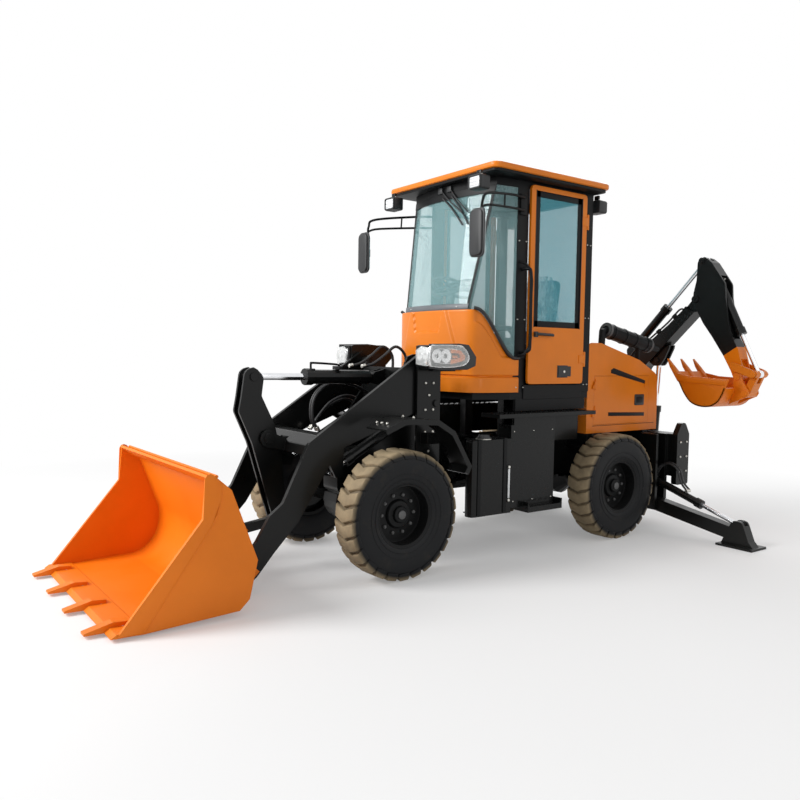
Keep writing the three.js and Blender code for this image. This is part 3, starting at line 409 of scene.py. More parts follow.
def curve_through(points, steps=8):
    """Catmull-Rom curve through the points."""
    pts = [points[0]] + list(points) + [points[-1]]
    out = []
    for i in range(1, len(pts) - 2):
        p0, p1, p2, p3 = pts[i - 1:i + 3]
        for k in range(steps):
            t = k / steps
            out.append(0.5 * ((2 * p1) + (p2 - p0) * t + (2 * p0 - 5 * p1 + 4 * p2 - p3) * t * t
                              + (3 * p1 - p0 - 3 * p2 + p3) * t**3))
    out.append(pts[-2])
    return out


print("folds sharper than", round(math.degrees(SHARP)), "degrees stay sharp")


# %% A collector for plates, turned parts and hoses
class Piece:
    """A mesh that gathers shapes given in machine millimetres, for one body."""

    def __init__(self, name, body):
        self.name = name
        self.body = body
        self.mesh = bmesh.new()
        self.finishes = []

    def take(self, verts, faces, finish, rounding=0.0):
        """Add points and faces in one finish, and round the sharp edges if a radius is given."""
        if finish not in self.finishes:
            self.finishes.append(finish)
        made = [self.mesh.verts.new(v) for v in verts]
        new = [self.mesh.faces.new([made[i] for i in face]) for face in faces]
        bmesh.ops.recalc_face_normals(self.mesh, faces=new)
        for face in new:
            face.material_index = self.finishes.index(finish)
        if rounding:
            edges = list({e for f in new for e in f.edges if e.calc_face_angle(0) > SHARP})
            bmesh.ops.bevel(self.mesh, geom=edges, offset=rounding / 1000, segments=2, profile=0.5,
                            affect="EDGES", clamp_overlap=True, material=-1)
        return self

    def slab(self, axis, outline, low, high, finish, rounding=0.0):
        """A plate: an outline in the other two axes (in x, y, z order), between low and high along axis."""
        def spot(a, b, c):
            return {"x": at(c, a, b), "y": at(a, c, b), "z": at(a, b, c)}[axis]

        n = len(outline)
        verts = [spot(a, b, low) for a, b in outline] + [spot(a, b, high) for a, b in outline]
        faces = [list(range(n))[::-1], list(range(n, 2 * n))]
        faces += [[i, (i + 1) % n, n + (i + 1) % n, n + i] for i in range(n)]
        return self.take(verts, faces, finish, rounding)

    def block(self, x, y, z, finish, rounding=3.0):
        outline = [(y[0], z[0]), (y[1], z[0]), (y[1], z[1]), (y[0], z[1])]
        return self.slab("x", outline, x[0], x[1], finish, rounding)

    def turned(self, centre, axis, profile, finish, steps=40):
        """A closed profile of (radius, distance along the axis), turned about the axis through centre."""
        along = Vector(axis).normalized()
        across = along.orthogonal().normalized()
        third = along.cross(across)
        middle = at(*centre)
        verts, faces, n = [], [], len(profile)
        for k in range(steps):
            turn = 2 * math.pi * k / steps
            out = math.cos(turn) * across + math.sin(turn) * third
            verts += [middle + along * (d / 1000) + out * (r / 1000) for r, d in profile]
        for k in range(steps):
            a, b = k * n, (k + 1) % steps * n
            faces += [[a + i, a + (i + 1) % n, b + (i + 1) % n, b + i] for i in range(n)]
        return self.take(verts, faces, finish)

    def pin(self, centre, axis, radius, half, finish, chamfer=2.0, steps=28):
        """A round pin or boss with chamfered ends; its axis is a sliver of profile, so that it closes."""
        flat = radius - chamfer
        profile = [(AXIS_GAP, -half), (flat, -half), (radius, chamfer - half), (radius, half - chamfer),
                   (flat, half), (AXIS_GAP, half)]
        return self.turned(centre, axis, profile, finish, steps)

    def pipe(self, points, radius, finish, sides=10, steps=8):
        """A hose or bar of round section drawn along a smooth path through the points."""
        path = curve_through([at(*p) for p in points], steps)
        path = [p for i, p in enumerate(path) if i == 0 or (p - path[i - 1]).length > 1e-5]
        heading = (path[1] - path[0]).normalized()
        first = heading.orthogonal().normalized()
        verts, faces = [], []
        for i, p in enumerate(path):
            ahead = path[min(i + 1, len(path) - 1)] - path[max(i - 1, 0)]
            heading = ahead.normalized()
            first = (first - heading * first.dot(heading)).normalized()
            second = heading.cross(first)
            for k in range(sides):
                turn = 2 * math.pi * k / sides
                verts.append(p + (math.cos(turn) * first + math.sin(turn) * second) * (radius / 1000))
        for i in range(len(path) - 1):
            a, b = i * sides, (i + 1) * sides
            faces += [[a + k, a + (k + 1) % sides, b + (k + 1) % sides, b + k] for k in range(sides)]
        faces += [list(range(sides))[::-1], list(range(len(verts) - sides, len(verts)))]
        return self.take(verts, faces, finish)

    def sheet(self, rows, finish, thick=0.0):
        """A curved skin through rows of points; given a thickness, it becomes a closed shell."""
        wide = len(rows[0])
        verts = [p for row in rows for p in row]
        faces = [[j * wide + i, j * wide + i + 1, (j + 1) * wide + i + 1, (j + 1) * wide + i]
                 for j in range(len(rows) - 1) for i in range(wide - 1)]
        if not thick:
            return self.take(verts, faces, finish)
        size = len(verts)
        normals = [Vector() for _ in verts]
        for face in faces:
            a, b, c, d = (verts[i] for i in face)
            n = (c - a).cross(d - b)
            for i in face:
                normals[i] += n
        verts = verts + [v - n.normalized() * (thick / 1000) for v, n in zip(verts, normals)]
        edge = list(range(wide)) + [j * wide + wide - 1 for j in range(1, len(rows))]
        edge += [size - 1 - i for i in range(1, wide)] + [j * wide for j in range(len(rows) - 2, 0, -1)]
        faces += [[i + size for i in face][::-1] for face in faces]
        faces += [[a, b, b + size, a + size] for a, b in zip(edge, edge[1:] + edge[:1])]
        return self.take(verts, faces, finish)

    def both_sides(self):
        """Copy what is there to the other side of the machine's centre plane."""
        everything = self.mesh.verts[:] + self.mesh.edges[:] + self.mesh.faces[:]
        copy = bmesh.ops.duplicate(self.mesh, geom=everything)["geom"]
        for vert in (g for g in copy if isinstance(g, bmesh.types.BMVert)):
            vert.co.x = -vert.co.x
        bmesh.ops.reverse_faces(self.mesh, faces=[g for g in copy if isinstance(g, bmesh.types.BMFace)])
        return self

    def plain_mesh(self):
        """What was collected, as a mesh with smooth faces and sharp folds marked."""
        for face in self.mesh.faces:
            face.smooth = True
        for edge in self.mesh.edges:
            edge.smooth = edge.calc_face_angle(0) < SHARP
        data = bpy.data.meshes.new(self.name)
        self.mesh.to_mesh(data)
        self.mesh.free()
        return data

    def place(self, replaces=(), slot=None):
        data = self.plain_mesh()
        for finish in self.finishes:
            data.materials.append(finish)
        made = new_object(self.name, data)
        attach(made, self.body)
        if replaces:
            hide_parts(*replaces)
        print(self.name, "on", self.body, len(data.polygons), "faces")
        return made


# %% [markdown]
# What repeats is stamped by Geometry Nodes: one tree sets copies round an axle (lugs), and one
# sets copies on the points of a guide mesh, turned to face along an attribute (bolts, wheel nuts, step studs).
# Each tree ends in Realize Instances and Set Material, and the result is kept as a plain mesh.


# %% Trees that stamp copies
def new_tree(name, inputs):
    tree = bpy.data.node_groups.new(name, "GeometryNodeTree")
    sockets = {}
    tree.interface.new_socket("Geometry", in_out="INPUT", socket_type="NodeSocketGeometry")
    for label, kind, default in inputs:
        socket = tree.interface.new_socket(label, in_out="INPUT", socket_type=kind)
        if default is not None:
            socket.default_value = default
        sockets[label] = socket.identifier
    tree.interface.new_socket("Geometry", in_out="OUTPUT", socket_type="NodeSocketGeometry")
    return tree, sockets


def end_tree(tree, instances, material):
    real = add_node(tree, "GeometryNodeRealizeInstances", Geometry=instances)
    painted = add_node(tree, "GeometryNodeSetMaterial", Geometry=real.outputs[0], Material=material)
    add_node(tree, "NodeGroupOutput", Geometry=painted.outputs[0])


def ring_tree():
    """Copies of a stamp set round the x axis at the origin, evenly, starting at a given turn."""
    tree, sockets = new_tree("copies round an axle", [
        ("Stamp", "NodeSocketObject", None), ("Count", "NodeSocketInt", 8), ("Start", "NodeSocketFloat", 0.0),
        ("Material", "NodeSocketMaterial", None)])
    given = tree.nodes.new("NodeGroupInput").outputs
    line = add_node(tree, "GeometryNodeMeshLine", Count=given["Count"], Offset=(0.0, 0.0, 0.0))
    index = Shade(tree, add_node(tree, "GeometryNodeInputIndex").outputs[0])
    turn = index / given["Count"] * (2 * math.pi) + given["Start"]
    spin = add_node(tree, "ShaderNodeCombineXYZ", X=turn)
    stamp = add_node(tree, "GeometryNodeObjectInfo", Object=given["Stamp"])
    copies = add_node(tree, "GeometryNodeInstanceOnPoints", Points=line.outputs[0],
                     Instance=stamp.outputs["Geometry"], Rotation=spin.outputs[0])
    end_tree(tree, copies.outputs[0], given["Material"])
    return tree, sockets


def guide_tree():
    """Copies of a stamp on the guide's points, facing along "facing", with a random turn about it."""
    tree, sockets = new_tree("copies on a guide", [
        ("Stamp", "NodeSocketObject", None), ("Spin", "NodeSocketFloat", 1.0), ("Seed", "NodeSocketInt", 7),
        ("Material", "NodeSocketMaterial", None)])
    given = tree.nodes.new("NodeGroupInput").outputs
    facing = add_node(tree, "GeometryNodeInputNamedAttribute", {"data_type": "FLOAT_VECTOR"}, Name="facing")
    lean = add_node(tree, "FunctionNodeAlignRotationToVector", {"axis": "Z"}, Vector=facing.outputs[0])
    chance = add_node(tree, "FunctionNodeRandomValue", {"data_type": "FLOAT"}, Seed=given["Seed"])
    amount = Shade(tree, chance.outputs[1]) * given["Spin"]
    spin = add_node(tree, "ShaderNodeCombineXYZ", Z=amount)
    both = add_node(tree, "FunctionNodeRotateRotation", {"rotation_space": "LOCAL"}, Rotation=lean.outputs[0])
    feed(tree, both.inputs[1], spin.outputs[0])
    stamp = add_node(tree, "GeometryNodeObjectInfo", Object=given["Stamp"])
    copies = add_node(tree, "GeometryNodeInstanceOnPoints", Points=given["Geometry"],
                     Instance=stamp.outputs["Geometry"], Rotation=both.outputs[0])
    end_tree(tree, copies.outputs[0], given["Material"])
    return tree, sockets


RING, RING_SOCKETS = ring_tree()
GUIDE, GUIDE_SOCKETS = guide_tree()
print("trees:", RING.name, "and", GUIDE.name)

# %% [markdown]
# A tree's result could stay a live modifier, but each part must be a plain mesh on one body. So the tree runs
# once on a guide, the evaluated mesh is kept, and the guide goes. The stamps wait in a list until the end.


# %% Copies as plain meshes
def grow(name, guide, tree, sockets, values, body, move=None):
    """Run a tree on a guide mesh, keep the result as a plain mesh, and put it on a body."""
    host = new_object(name + ".guide", guide)
    modifier = host.modifiers.new("copies", "NODES")
    modifier.node_group = tree
    for label, value in values.items():
        modifier[sockets[label]] = value
    bpy.context.view_layer.update()
    seen = host.evaluated_get(bpy.context.evaluated_depsgraph_get())
    data = bpy.data.meshes.new_from_object(seen)
    data.name = name
    host.modifiers.clear()
    bpy.data.objects.remove(host)
    if move is not None:
        data.transform(Matrix.Translation(move))
    made = new_object(name, data)
    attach(made, body)
    print(name, "on", body, len(data.polygons), "faces")
    return made


STAMPS = []


def stamp(piece):
    """A collected shape kept aside as the thing to copy, not as a part of the machine."""
    data = piece.plain_mesh()
    data.transform(Matrix.Translation(-at(0, 0, 0)))
    STAMPS.append(new_object(piece.name, data))
    return STAMPS[-1]


def guide_mesh(name, spots):
    """Points (in machine millimetres) with the direction that each copy faces."""
    data = bpy.data.meshes.new(name)
    data.from_pydata([at(*spot) for spot, _ in spots], [], [])
    facing = data.attributes.new("facing", "FLOAT_VECTOR", "POINT")
    for item, (_, way) in zip(facing.data, spots):
        item.vector = way
    return data


def copies_on(name, body, shape, spots, material, spin=1.0):
    values = {"Stamp": shape, "Spin": spin, "Material": material}
    return grow(name, guide_mesh(name, spots), GUIDE, GUIDE_SOCKETS, values, body)


def copies_round(name, body, shape, count, centre, material, start=0.0):
    values = {"Stamp": shape, "Count": count, "Start": start, "Material": material}
    return grow(name, bpy.data.meshes.new(name), RING, RING_SOCKETS, values, body, at(*centre))


print("copies go round an axle or on a guide's points")

# %% [markdown]
# Each tyre is a turned carcass with a row of heavy chevron lugs. One lug is made as a bent bar: its two halves
# lean back from the middle, and its ends run down over the shoulders. The lugs of the left and right wheels
# point the same way, so that both sides push mud out. The tree sets them round the axle.

# %% Tyre carcass and lugs
LUGS = 26
TREAD = 438.6
BASE = 419
FOOT = BASE - 6


def lug_stamp():
    """One chevron lug at the top of the wheel, about the axle as origin."""
    piece = Piece("tyre lug", None)
    shoulder = [(114, 30, 392), (104, 22, 428), (90, 14, 437), (45, 2, TREAD), (4, -13, TREAD)]
    sections = [(-x, shift, top) for x, shift, top in shoulder] + shoulder[::-1]
    rings = []
    for x, shift, top in sections:
        half = 39 if abs(x) > 60 else 41
        foot = min(FOOT, top - 10)
        across = ((-half - 4, foot), (3 - half, top - 3), (8 - half, top),
                  (half - 8, top), (half - 3, top - 3), (half + 4, foot))
        rings.append([at(x, shift + y, z) for y, z in across])
    n = len(rings[0])
    verts = [v for ring in rings for v in ring]
    faces = [[j * n + i, j * n + (i + 1) % n, (j + 1) * n + (i + 1) % n, (j + 1) * n + i]
             for j in range(len(rings) - 1) for i in range(n)]
    faces += [list(range(n)), list(range(len(verts) - n, len(verts)))]
    piece.take(verts, faces, tyre_front)
    return stamp(piece)


LUG = lug_stamp()


def wheel_nut(name, radius, half):
    """A six-sided nut with a stud end, facing +z at the origin."""
    piece = Piece(name, None)
    middle, up = (0, 0, 0), (0, 0, 1)
    head = [(AXIS_GAP, -1), (radius, -1), (radius, half - 2), (radius - 2, half), (AXIS_GAP, half)]
    stud = [(AXIS_GAP, 0), (radius * 0.5, 0), (radius * 0.5, half + 4), (AXIS_GAP, half + 5)]
    piece.turned(middle, up, head, bright_steel, 6)
    piece.turned(middle, up, stud, bright_steel, 12)
    return stamp(piece)


NUT = wheel_nut("wheel nut", 13, 14)
BOLT = wheel_nut("plate bolt", 10, 8)
SMALL_BOLT = wheel_nut("small bolt", 6, 5)
print("stamps:", [made.name for made in STAMPS])

# %% [markdown]
# A wheel is a tyre seated on a turned rim, with a dished web and a ring of nuts. All four are the same, so one
# function makes one wheel, and the side decides which way its dish and nuts face.

# %% Four wheels
CARCASS = [(207, 84), (214, 93), (235, 102), (262, 108), (300, 113), (340, 114.5), (372, 113), (396, 108),
           (410, 99), (417, 86), (BASE, 50), (BASE, 0)]
CARCASS += [(r, -d) for r, d in CARCASS[-2::-1]]
RIM_BARREL = [(197, -96), (225, -97), (226, -90), (206, -86), (204, -40), (204, 60), (207, 84), (226, 90),
              (225, 97), (219, 97), (214, 90), (199, 86), (196, 60), (193, 20), (196, -40)]
RIM_WEB = [(60, -20), (196, -22), (196, -4), (176, -8), (150, -2), (118, -4), (100, 0), (96, 12), (88, 22),
           (58, 26), (55, 46), (48, 52), (AXIS_GAP, 52), (AXIS_GAP, -20)]
HUB_CAP = [(30, 50), (30, 58), (24, 62), (AXIS_GAP, 62), (AXIS_GAP, 50)]
NUTS = 10
NUT_CIRCLE = 132
LUG_START = 0.03


def wheel(end, hand, sign):
    """One wheel: every shape is turned about the axle, and hand says which way it faces."""
    y = 0 if end == "front" else WHEELBASE
    rubber_finish = tyre_front if end == "front" else tyre_rear
    body = f"wheel_{end}_{hand}"
    hub, outward = (sign * HALF_TRACK, y, TYRE_RADIUS), (sign, 0, 0)
    tyre = Piece(f"tyre.{end}.{hand}", body)
    tyre.turned(hub, outward, CARCASS, rubber_finish, 104)
    for r, top in ((250, 110), (286, 114.9)):
        tyre.turned(hub, outward, [(r - 3, 100), (r, top), (r + 3, 100)], rubber_finish, 80)
    tyre.place(replaces=[f"tyre_{end}_{hand}"], slot="tyre_rubber")
    lugs = copies_round(f"lugs.{end}.{hand}", body, LUG, LUGS, hub, rubber_finish, LUG_START)
    rim = Piece(f"rim.{end}.{hand}", body)
    rim.turned(hub, outward, RIM_BARREL, satin_black, 72)
    rim.turned(hub, outward, RIM_WEB, satin_black, 64)
    rim.turned(hub, outward, HUB_CAP, cast_iron, 24)
    rim.place(replaces=[f"rim_{end}_{hand}"], slot="black_paint")
    spots = []
    for k in range(NUTS):
        turn = 2 * math.pi * k / NUTS
        place = (hub[0] - sign * 3, y + NUT_CIRCLE * math.cos(turn), TYRE_RADIUS + NUT_CIRCLE * math.sin(turn))
        spots.append((place, outward))
    nuts = copies_on(f"wheel_nuts.{end}.{hand}", body, NUT, spots, cast_iron)


for end in ("front", "rear"):
    for hand, sign in HANDS:
        wheel(end, hand, sign)

# %% [markdown]
# The cab roof is a thin painted cap that overhangs a black box section. From the ground it shows as an orange
# edge over a dark underside. Two slabs with rolled edges give that, and a raised field stiffens the top.


# %% Roof and work lamps
EAVES = 2866


def rounded(x, y, r, steps=5):
    """A rectangle with rounded corners, as an outline."""
    out = []
    right, left, top, low = x[1] - r, x[0] + r, y[1] - r, y[0] + r
    for cx, cy, start in ((right, top, 0), (left, top, 90), (left, low, 180), (right, low, 270)):
        for k in range(steps + 1):
            turn = math.radians(start + 90 * k / steps)
            out.append((cx + r * math.cos(turn), cy + r * math.sin(turn)))
    return out


def work_lamp(piece, x, y, z, facing):
    """A lamp of moulded housing, ribbed lens and bent bracket, facing forward (-1) or back (+1)."""
    def frame_of(wide, tall, radius, middle=z):
        return rounded((x - wide, x + wide), (middle - tall, middle + tall), radius)

    front, back = y + facing * 48, y - facing * 46
    piece.slab("y", frame_of(68, 52, 16), *sorted((front - facing * 6, back)), black_plastic, 5)
    piece.slab("y", frame_of(54, 38, 10), *sorted((front, front - facing * 10)), white_lens, 3)
    rim = [(px, front, pz) for px, pz in frame_of(60, 44, 12)]
    piece.pipe(rim + [(x + 60, front, z + 32)], 7, black_plastic, 6, 1)
    for rib in (-24, 0, 24):
        piece.slab("y", frame_of(52, 1.6, 1, z + rib), front - 2, front + 2, reflector)
    piece.block((x - 22, x + 22), (y - 10, y + 10), (z + 46, EAVES), black_paint, 2)
    piece.pin((x, y, z + 56), (1, 0, 0), 9, 30, bright_steel)


roof = Piece("roof.cap", "rear_frame")
roof.slab("z", rounded((-672, 672), (809, 2091), 60), 2880, 2924, orange_paint, 13)
roof.slab("z", rounded((-540, 540), (930, 1970), 50), 2916, 2932, orange_paint, 6)
roof.slab("z", rounded((-652, 652), (829, 2071), 50), 2858.5, 2887, satin_black, 3)
for sign in (-1, 1):
    work_lamp(roof, sign * 535, 770, 2776, -1)
    work_lamp(roof, sign * 495, 2122, 2768, 1)
roof.place(replaces=["roof"], slot="orange_paint")

# %% [markdown]
# The screen is wiped by two arms hung from above. Each is a pivot box, a thin rod and a blade that
# follows the curve of the glass, so its points are taken on the screen's own surface, a little outside it.


# %% Wipers and screen trim
SCREEN_LOW = 1866
SCREEN_TALL = 932
SCREEN_TOP = SCREEN_LOW + SCREEN_TALL


def on_screen(u, z, out):
    """A point off the windscreen: u runs -1..1 across it, out is the distance in front of it."""
    t = (z - SCREEN_LOW) / SCREEN_TALL
    return (u * (390 + 107 * t), 760 + 140 * t + (55 + 28 * t) * u * u - out, z)


def across_screen(z, out):
    return [at(*on_screen(-1 + k / 12, z, out)) for k in range(25)]


trim = Piece("screen.trim", "rear_frame")
for near, far in ((-0.12, 0.50), (0.10, 0.62)):
    half_way = (near + far) / 2
    top = on_screen(near, 2832, 12)
    trim.pipe([top, on_screen(half_way, 2722, 34), on_screen(far, 2610, 26)], 6, black_plastic)
    blade = ((near + 0.08, 2760, 12), (half_way + 0.06, 2650, 13), (far + 0.02, 2520, 12))
    trim.pipe([on_screen(*spot) for spot in blade], 7, hose_rubber)
    trim.block((top[0] - 26, top[0] + 26), (top[1] - 14, top[1] + 22), (2800, 2850), black_plastic, 6)
trim.sheet([across_screen(z, out) for z, out in ((1864, 4), (1868, 7), (1902, 7), (1906, 4))], grey_plate, -4)
trim.sheet([across_screen(z, 5) for z in (2742, 2770, SCREEN_TOP)], satin_black, -3)
for hand in (-1, 1):
    heights = (SCREEN_LOW, 2100, 2330, 2560, SCREEN_TOP)
    border = [[at(*on_screen(hand * u, z, 5)) for z in heights] for u in (0.955, 1.0)]
    trim.sheet(border, satin_black, -3 * hand)
trim.place()
spots = [((x, on_screen(x / 395, 1885, 8)[1], 1885), (0, -1, 0.15)) for x in (-290, 290)]
copies_on("screen.bolts", "rear_frame", SMALL_BOLT, spots, bright_steel)

# %% [markdown]
# A steering wheel is a padded ring on thin spokes. The ring is turned from a round profile, and tilts with the
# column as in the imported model, so that it covers the coarse ring there.

# %% Steering wheel and cab floor controls
RING_CENTRE = (0, 985, 2060)
COLUMN_LEAN = math.radians(25)
RING_RADIUS, RING_THICK = 165, 16
wheel_axis = (0, -math.sin(COLUMN_LEAN), math.cos(COLUMN_LEAN))
steer = Piece("steering.wheel", "rear_frame")
turns = [2 * math.pi * k / 12 for k in range(12)]
section = [(RING_RADIUS + RING_THICK * math.cos(a), RING_THICK * math.sin(a)) for a in turns]
steer.turned(RING_CENTRE, wheel_axis, section, black_plastic, 56)
for turn in (90, 210, 330):
    right, ahead = 160 * math.cos(math.radians(turn)), 160 * math.sin(math.radians(turn))
    tip = (right, RING_CENTRE[1] + ahead * wheel_axis[2], RING_CENTRE[2] - ahead * wheel_axis[1])
    steer.pipe([(0, 988, 2052), tip], 9, satin_black)
steer.pin((0, 985, 2062), wheel_axis, 44, 13, black_plastic, 5)
steer.pipe([(118, 985, 2064), (118, 975, 2110)], 13, black_plastic)
for x, height in ((330, 1760), (372, 1740), (414, 1720)):
    steer.pipe([(x, 1560, 1500), (x, 1545, 1620), (x, 1530, height)], 7, satin_black)
    steer.pin((x, 1530, height + 8), (0, 0, 1), 17, 22, black_plastic, 8)
steer.place()

# %% [markdown]
# The seat is foam under cloth, so its edges are full and round and its middle panels are stitched in. Each pad
# starts as a coarse box of loops, pinched where the seams are, and one round of subdivision swells it out. A
# thin clear cover, still on a new machine, hangs over it in creases.


# %% Padded seat and its clear cover
seat_cloth = plain("seat cloth", colour(0.022, 0.023, 0.025), 0.75, 0.0, 900.0, 0.0012)


def soft_box(name, centre, size, lean, seams, material):
    """A pad: a gridded box whose middle swells, whose rim is rounded and whose seams are drawn in."""
    wide, deep, tall = size
    mesh = bmesh.new()
    bmesh.ops.create_cube(mesh, size=1.0)
    bmesh.ops.subdivide_edges(mesh, edges=mesh.edges[:], cuts=9, use_grid_fill=True)
    for vert in mesh.verts:
        p = vert.co * 2
        rim = max(abs(p.x), abs(p.z))
        swell = 1.0 - 0.25 * rim**4
        seam = min((abs(p.x - s) for s in seams), default=1.0)
        if abs(p.y) > 0.9:
            swell -= 0.16 * max(0.0, 1.0 - seam / 0.16)
        p.y *= swell
        p.x *= 1.0 - 0.05 * abs(p.y)**3
        p.z *= 1.0 - 0.05 * abs(p.y)**3
        local = Vector((p.x * wide / 2, p.y * deep / 2, p.z * tall / 2))
        vert.co = at(*centre) + Matrix.Rotation(lean, 3, "X") @ (local / 1000)
    data = bpy.data.meshes.new(name)
    mesh.to_mesh(data)
    mesh.free()
    for face in data.polygons:
        face.use_smooth = True
    data.materials.append(material)
    pad = new_object(name, data)
    pad.modifiers.new("swell", "SUBSURF").levels = 1
    pad.modifiers["swell"].render_levels = 1
    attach(pad, "rear_frame")
    print(name, len(data.polygons), "faces before smoothing")
    return pad


SEAMS = (-0.55, 0.55)
cushion = soft_box("seat.cushion", (0, 1668, 1566), (490, 118, 480), math.radians(90), SEAMS, seat_cloth)
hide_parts("seat")
soft_box("seat.back", (0, 1925, 1880), (460, 120, 590), math.radians(-8), SEAMS, seat_cloth)

# %% [markdown]
# Below the pads are a steel pan, a box that holds the spring, and two armrests. They are plain folded and
# moulded parts, so slabs with rounded corners do.

# %% Seat frame and armrests
frame_of_seat = Piece("seat.frame", "rear_frame")
frame_of_seat.slab("z", rounded((-205, 205), (1470, 1880), 30), 1440, 1503, satin_black, 6)
frame_of_seat.block((-150, 150), (1520, 1840), (1236, 1445), satin_black, 10)
for side_x in (-258, 258):
    frame_of_seat.slab("x", rounded((1600, 1880), (1745, 1790), 18), side_x - 26, side_x + 26, black_plastic, 8)
    frame_of_seat.pipe([(side_x, 1860, 1765), (side_x * 0.95, 1900, 1700)], 11, satin_black)
frame_of_seat.place()

# %% [markdown]
# The clear cover is a thin sheet that hangs from the top of the backrest. A grid of points runs round the seat
# from side to side, with waves and a little chance in it, and the creases themselves are a bump. Alpha that
# follows the creases makes the film show where it is folded and vanish where it lies flat.

# %% Clear film over the seat
cover_film = Finish("clear film")
crease = cover_film.noise(14.0, 6.0, 0.75, (1.0, 1.0, 0.45))
cover_film.set(
    Base_Color=colour(0.95, 0.96, 0.96),
    Roughness=0.12,
    Normal=cover_film.bump(crease, 0.02, 1.0),
    Alpha=(0.22 + crease.ramp(0.48, 0.60) * 0.70).clamp(0.0, 1.0),
)
random.seed(5)
film = Piece("seat.film", "rear_frame")
rows = []
for j in range(15):
    t = j / 14
    row = []
    for k in range(25):
        a = math.pi * k / 24
        wave = 8 * math.sin(5 * a + 4 * t) + random.uniform(-5, 5)
        wide = (258 + wave) * (1.0 - 0.25 * max(0.0, t - 0.8) / 0.2)
        deep = (118 + wave * 0.6) * math.sin(a) ** 0.6
        row.append(at(-wide * math.cos(a), 1985 - 70 * t - deep, 1600 + 602 * t))
    rows.append(row)
film.sheet(rows, cover_film.material, 1.0)
film.place()

# %% [markdown]
# The cowl is one moulded skin that wraps the front of the cab. Its plan is a smooth curve, its top edge drops
# towards the doors, and shallow creases stiffen it. A grid of points follows the plan curve and is pushed in
# or out along its normal where a groove, a raised field or the rolled top edge needs it.


# %% Cowl
def cowl_plan(steps):
    """Points round the cowl from the right side to the left, with the outward direction at each."""
    half = [(0, 721), (160, 728), (310, 750), (428, 790), (480, 860), (512, 990), (529, 1120), (529, 1224)]
    line = [Vector((-x, y, 0)) for x, y in half[:0:-1]] + [Vector((x, y, 0)) for x, y in half]
    curve = curve_through(line, steps)
    out = []
    for i, p in enumerate(curve):
        ahead = curve[min(i + 1, len(curve) - 1)] - curve[max(i - 1, 0)]
        out.append((p, Vector((ahead.y, -ahead.x, 0)).normalized()))
    return out


def step(low, high, value):
    t = max(0.0, min(1.0, (value - low) / (high - low)))
    return t * t * (3 - 2 * t)


COWL_LOW = 1236
COWL_TOP = 1862


def cowl_top(y):
    return COWL_TOP - 372 * step(815, 1178, y)


def cowl_relief(x, y, z):
    """How far the skin stands out of the plain curve."""
    groove = -13 * step(1350, 1356, z) * (1 - step(1364, 1370, z))
    low_edge = 225 + 0.34 * (COWL_TOP - z)
    shield = 13 * (1 - step(low_edge - 8, low_edge + 6, abs(x))) * step(1395, 1410, z)
    dip_edge = 150 + 0.20 * (z - 1690)
    dip = -16 * (1 - step(dip_edge - 8, dip_edge + 4, abs(x))) * step(1690, 1702, z)
    band = -13 * (1 - step(84, 96, cowl_top(y) - z)) * step(800, 850, y) * step(1500, 1512, z)
    skirt = 4 * (1 - step(1345, 1350, z))
    return groove + shield + dip + band + skirt


cowl = Piece("cowl.skin", "rear_frame")
plan = cowl_plan(14)
levels = [0.0, 0.012, 0.18, 0.188, 0.2, 0.206, 0.214, 0.222, 0.23]
levels += [0.24 + 0.74 * k / 44 for k in range(45)] + [0.988, 0.996, 1.0]
rows = []
for v in levels:
    row = []
    for p, way in plan:
        z = COWL_LOW + v * (cowl_top(p.y) - COWL_LOW)
        roll = 5 * max(0.0, (v - 0.985) / 0.015) ** 2
        q = p + way * (cowl_relief(p.x, p.y, z) - roll - 4)
        row.append(at(q.x, q.y, z))
    rows.append(row)
cowl.sheet(rows, orange_paint, 5)
cowl.place(replaces=["cowl"], slot="orange_paint")
seal = Piece("cowl.seal", "rear_frame")
for edge in (1, -1):
    path = [(p.x, p.y, cowl_top(p.y) + 11) for p, _ in plan if p.x * edge > 455]
    seal.pipe(path[::edge], 13, hose_rubber, 8, 2)
seal.place()

# %% [markdown]
# Each headlamp is a moulded black shell on top of the arm tower. A clear cover wraps its front and outer side
# over a bright reflector, with an amber turn signal set in. The cover's outline is traced once and reused,
# shrunk towards its middle, for the reflector's rims.


# %% Headlamps
clear_lens = Finish("lamp cover")
flute = clear_lens.add("ShaderNodeTexWave", Vector=clear_lens.place, Scale=42.0)
flute = flute["Fac" if "Fac" in flute else "Factor"]
clear_lens.set(
    Base_Color=colour(0.85, 0.87, 0.86),
    Roughness=0.06,
    Normal=clear_lens.bump(flute, 0.002, 0.5),
    Alpha=0.30 + clear_lens.noise(8.0) * 0.2,
)


def shrunk(outline, share):
    """An outline drawn in towards its middle."""
    my, mz = (sum(p[k] for p in outline) / len(outline) for k in (0, 1))
    return [(my + (y - my) * share, mz + (z - mz) * share) for y, z in outline]


def bowl(radius, deep, wall):
    """The profile of a small round reflector."""
    return [(AXIS_GAP, 2), (radius - 4, deep), (radius, deep), (radius - 2, deep - wall), (AXIS_GAP, 0)]


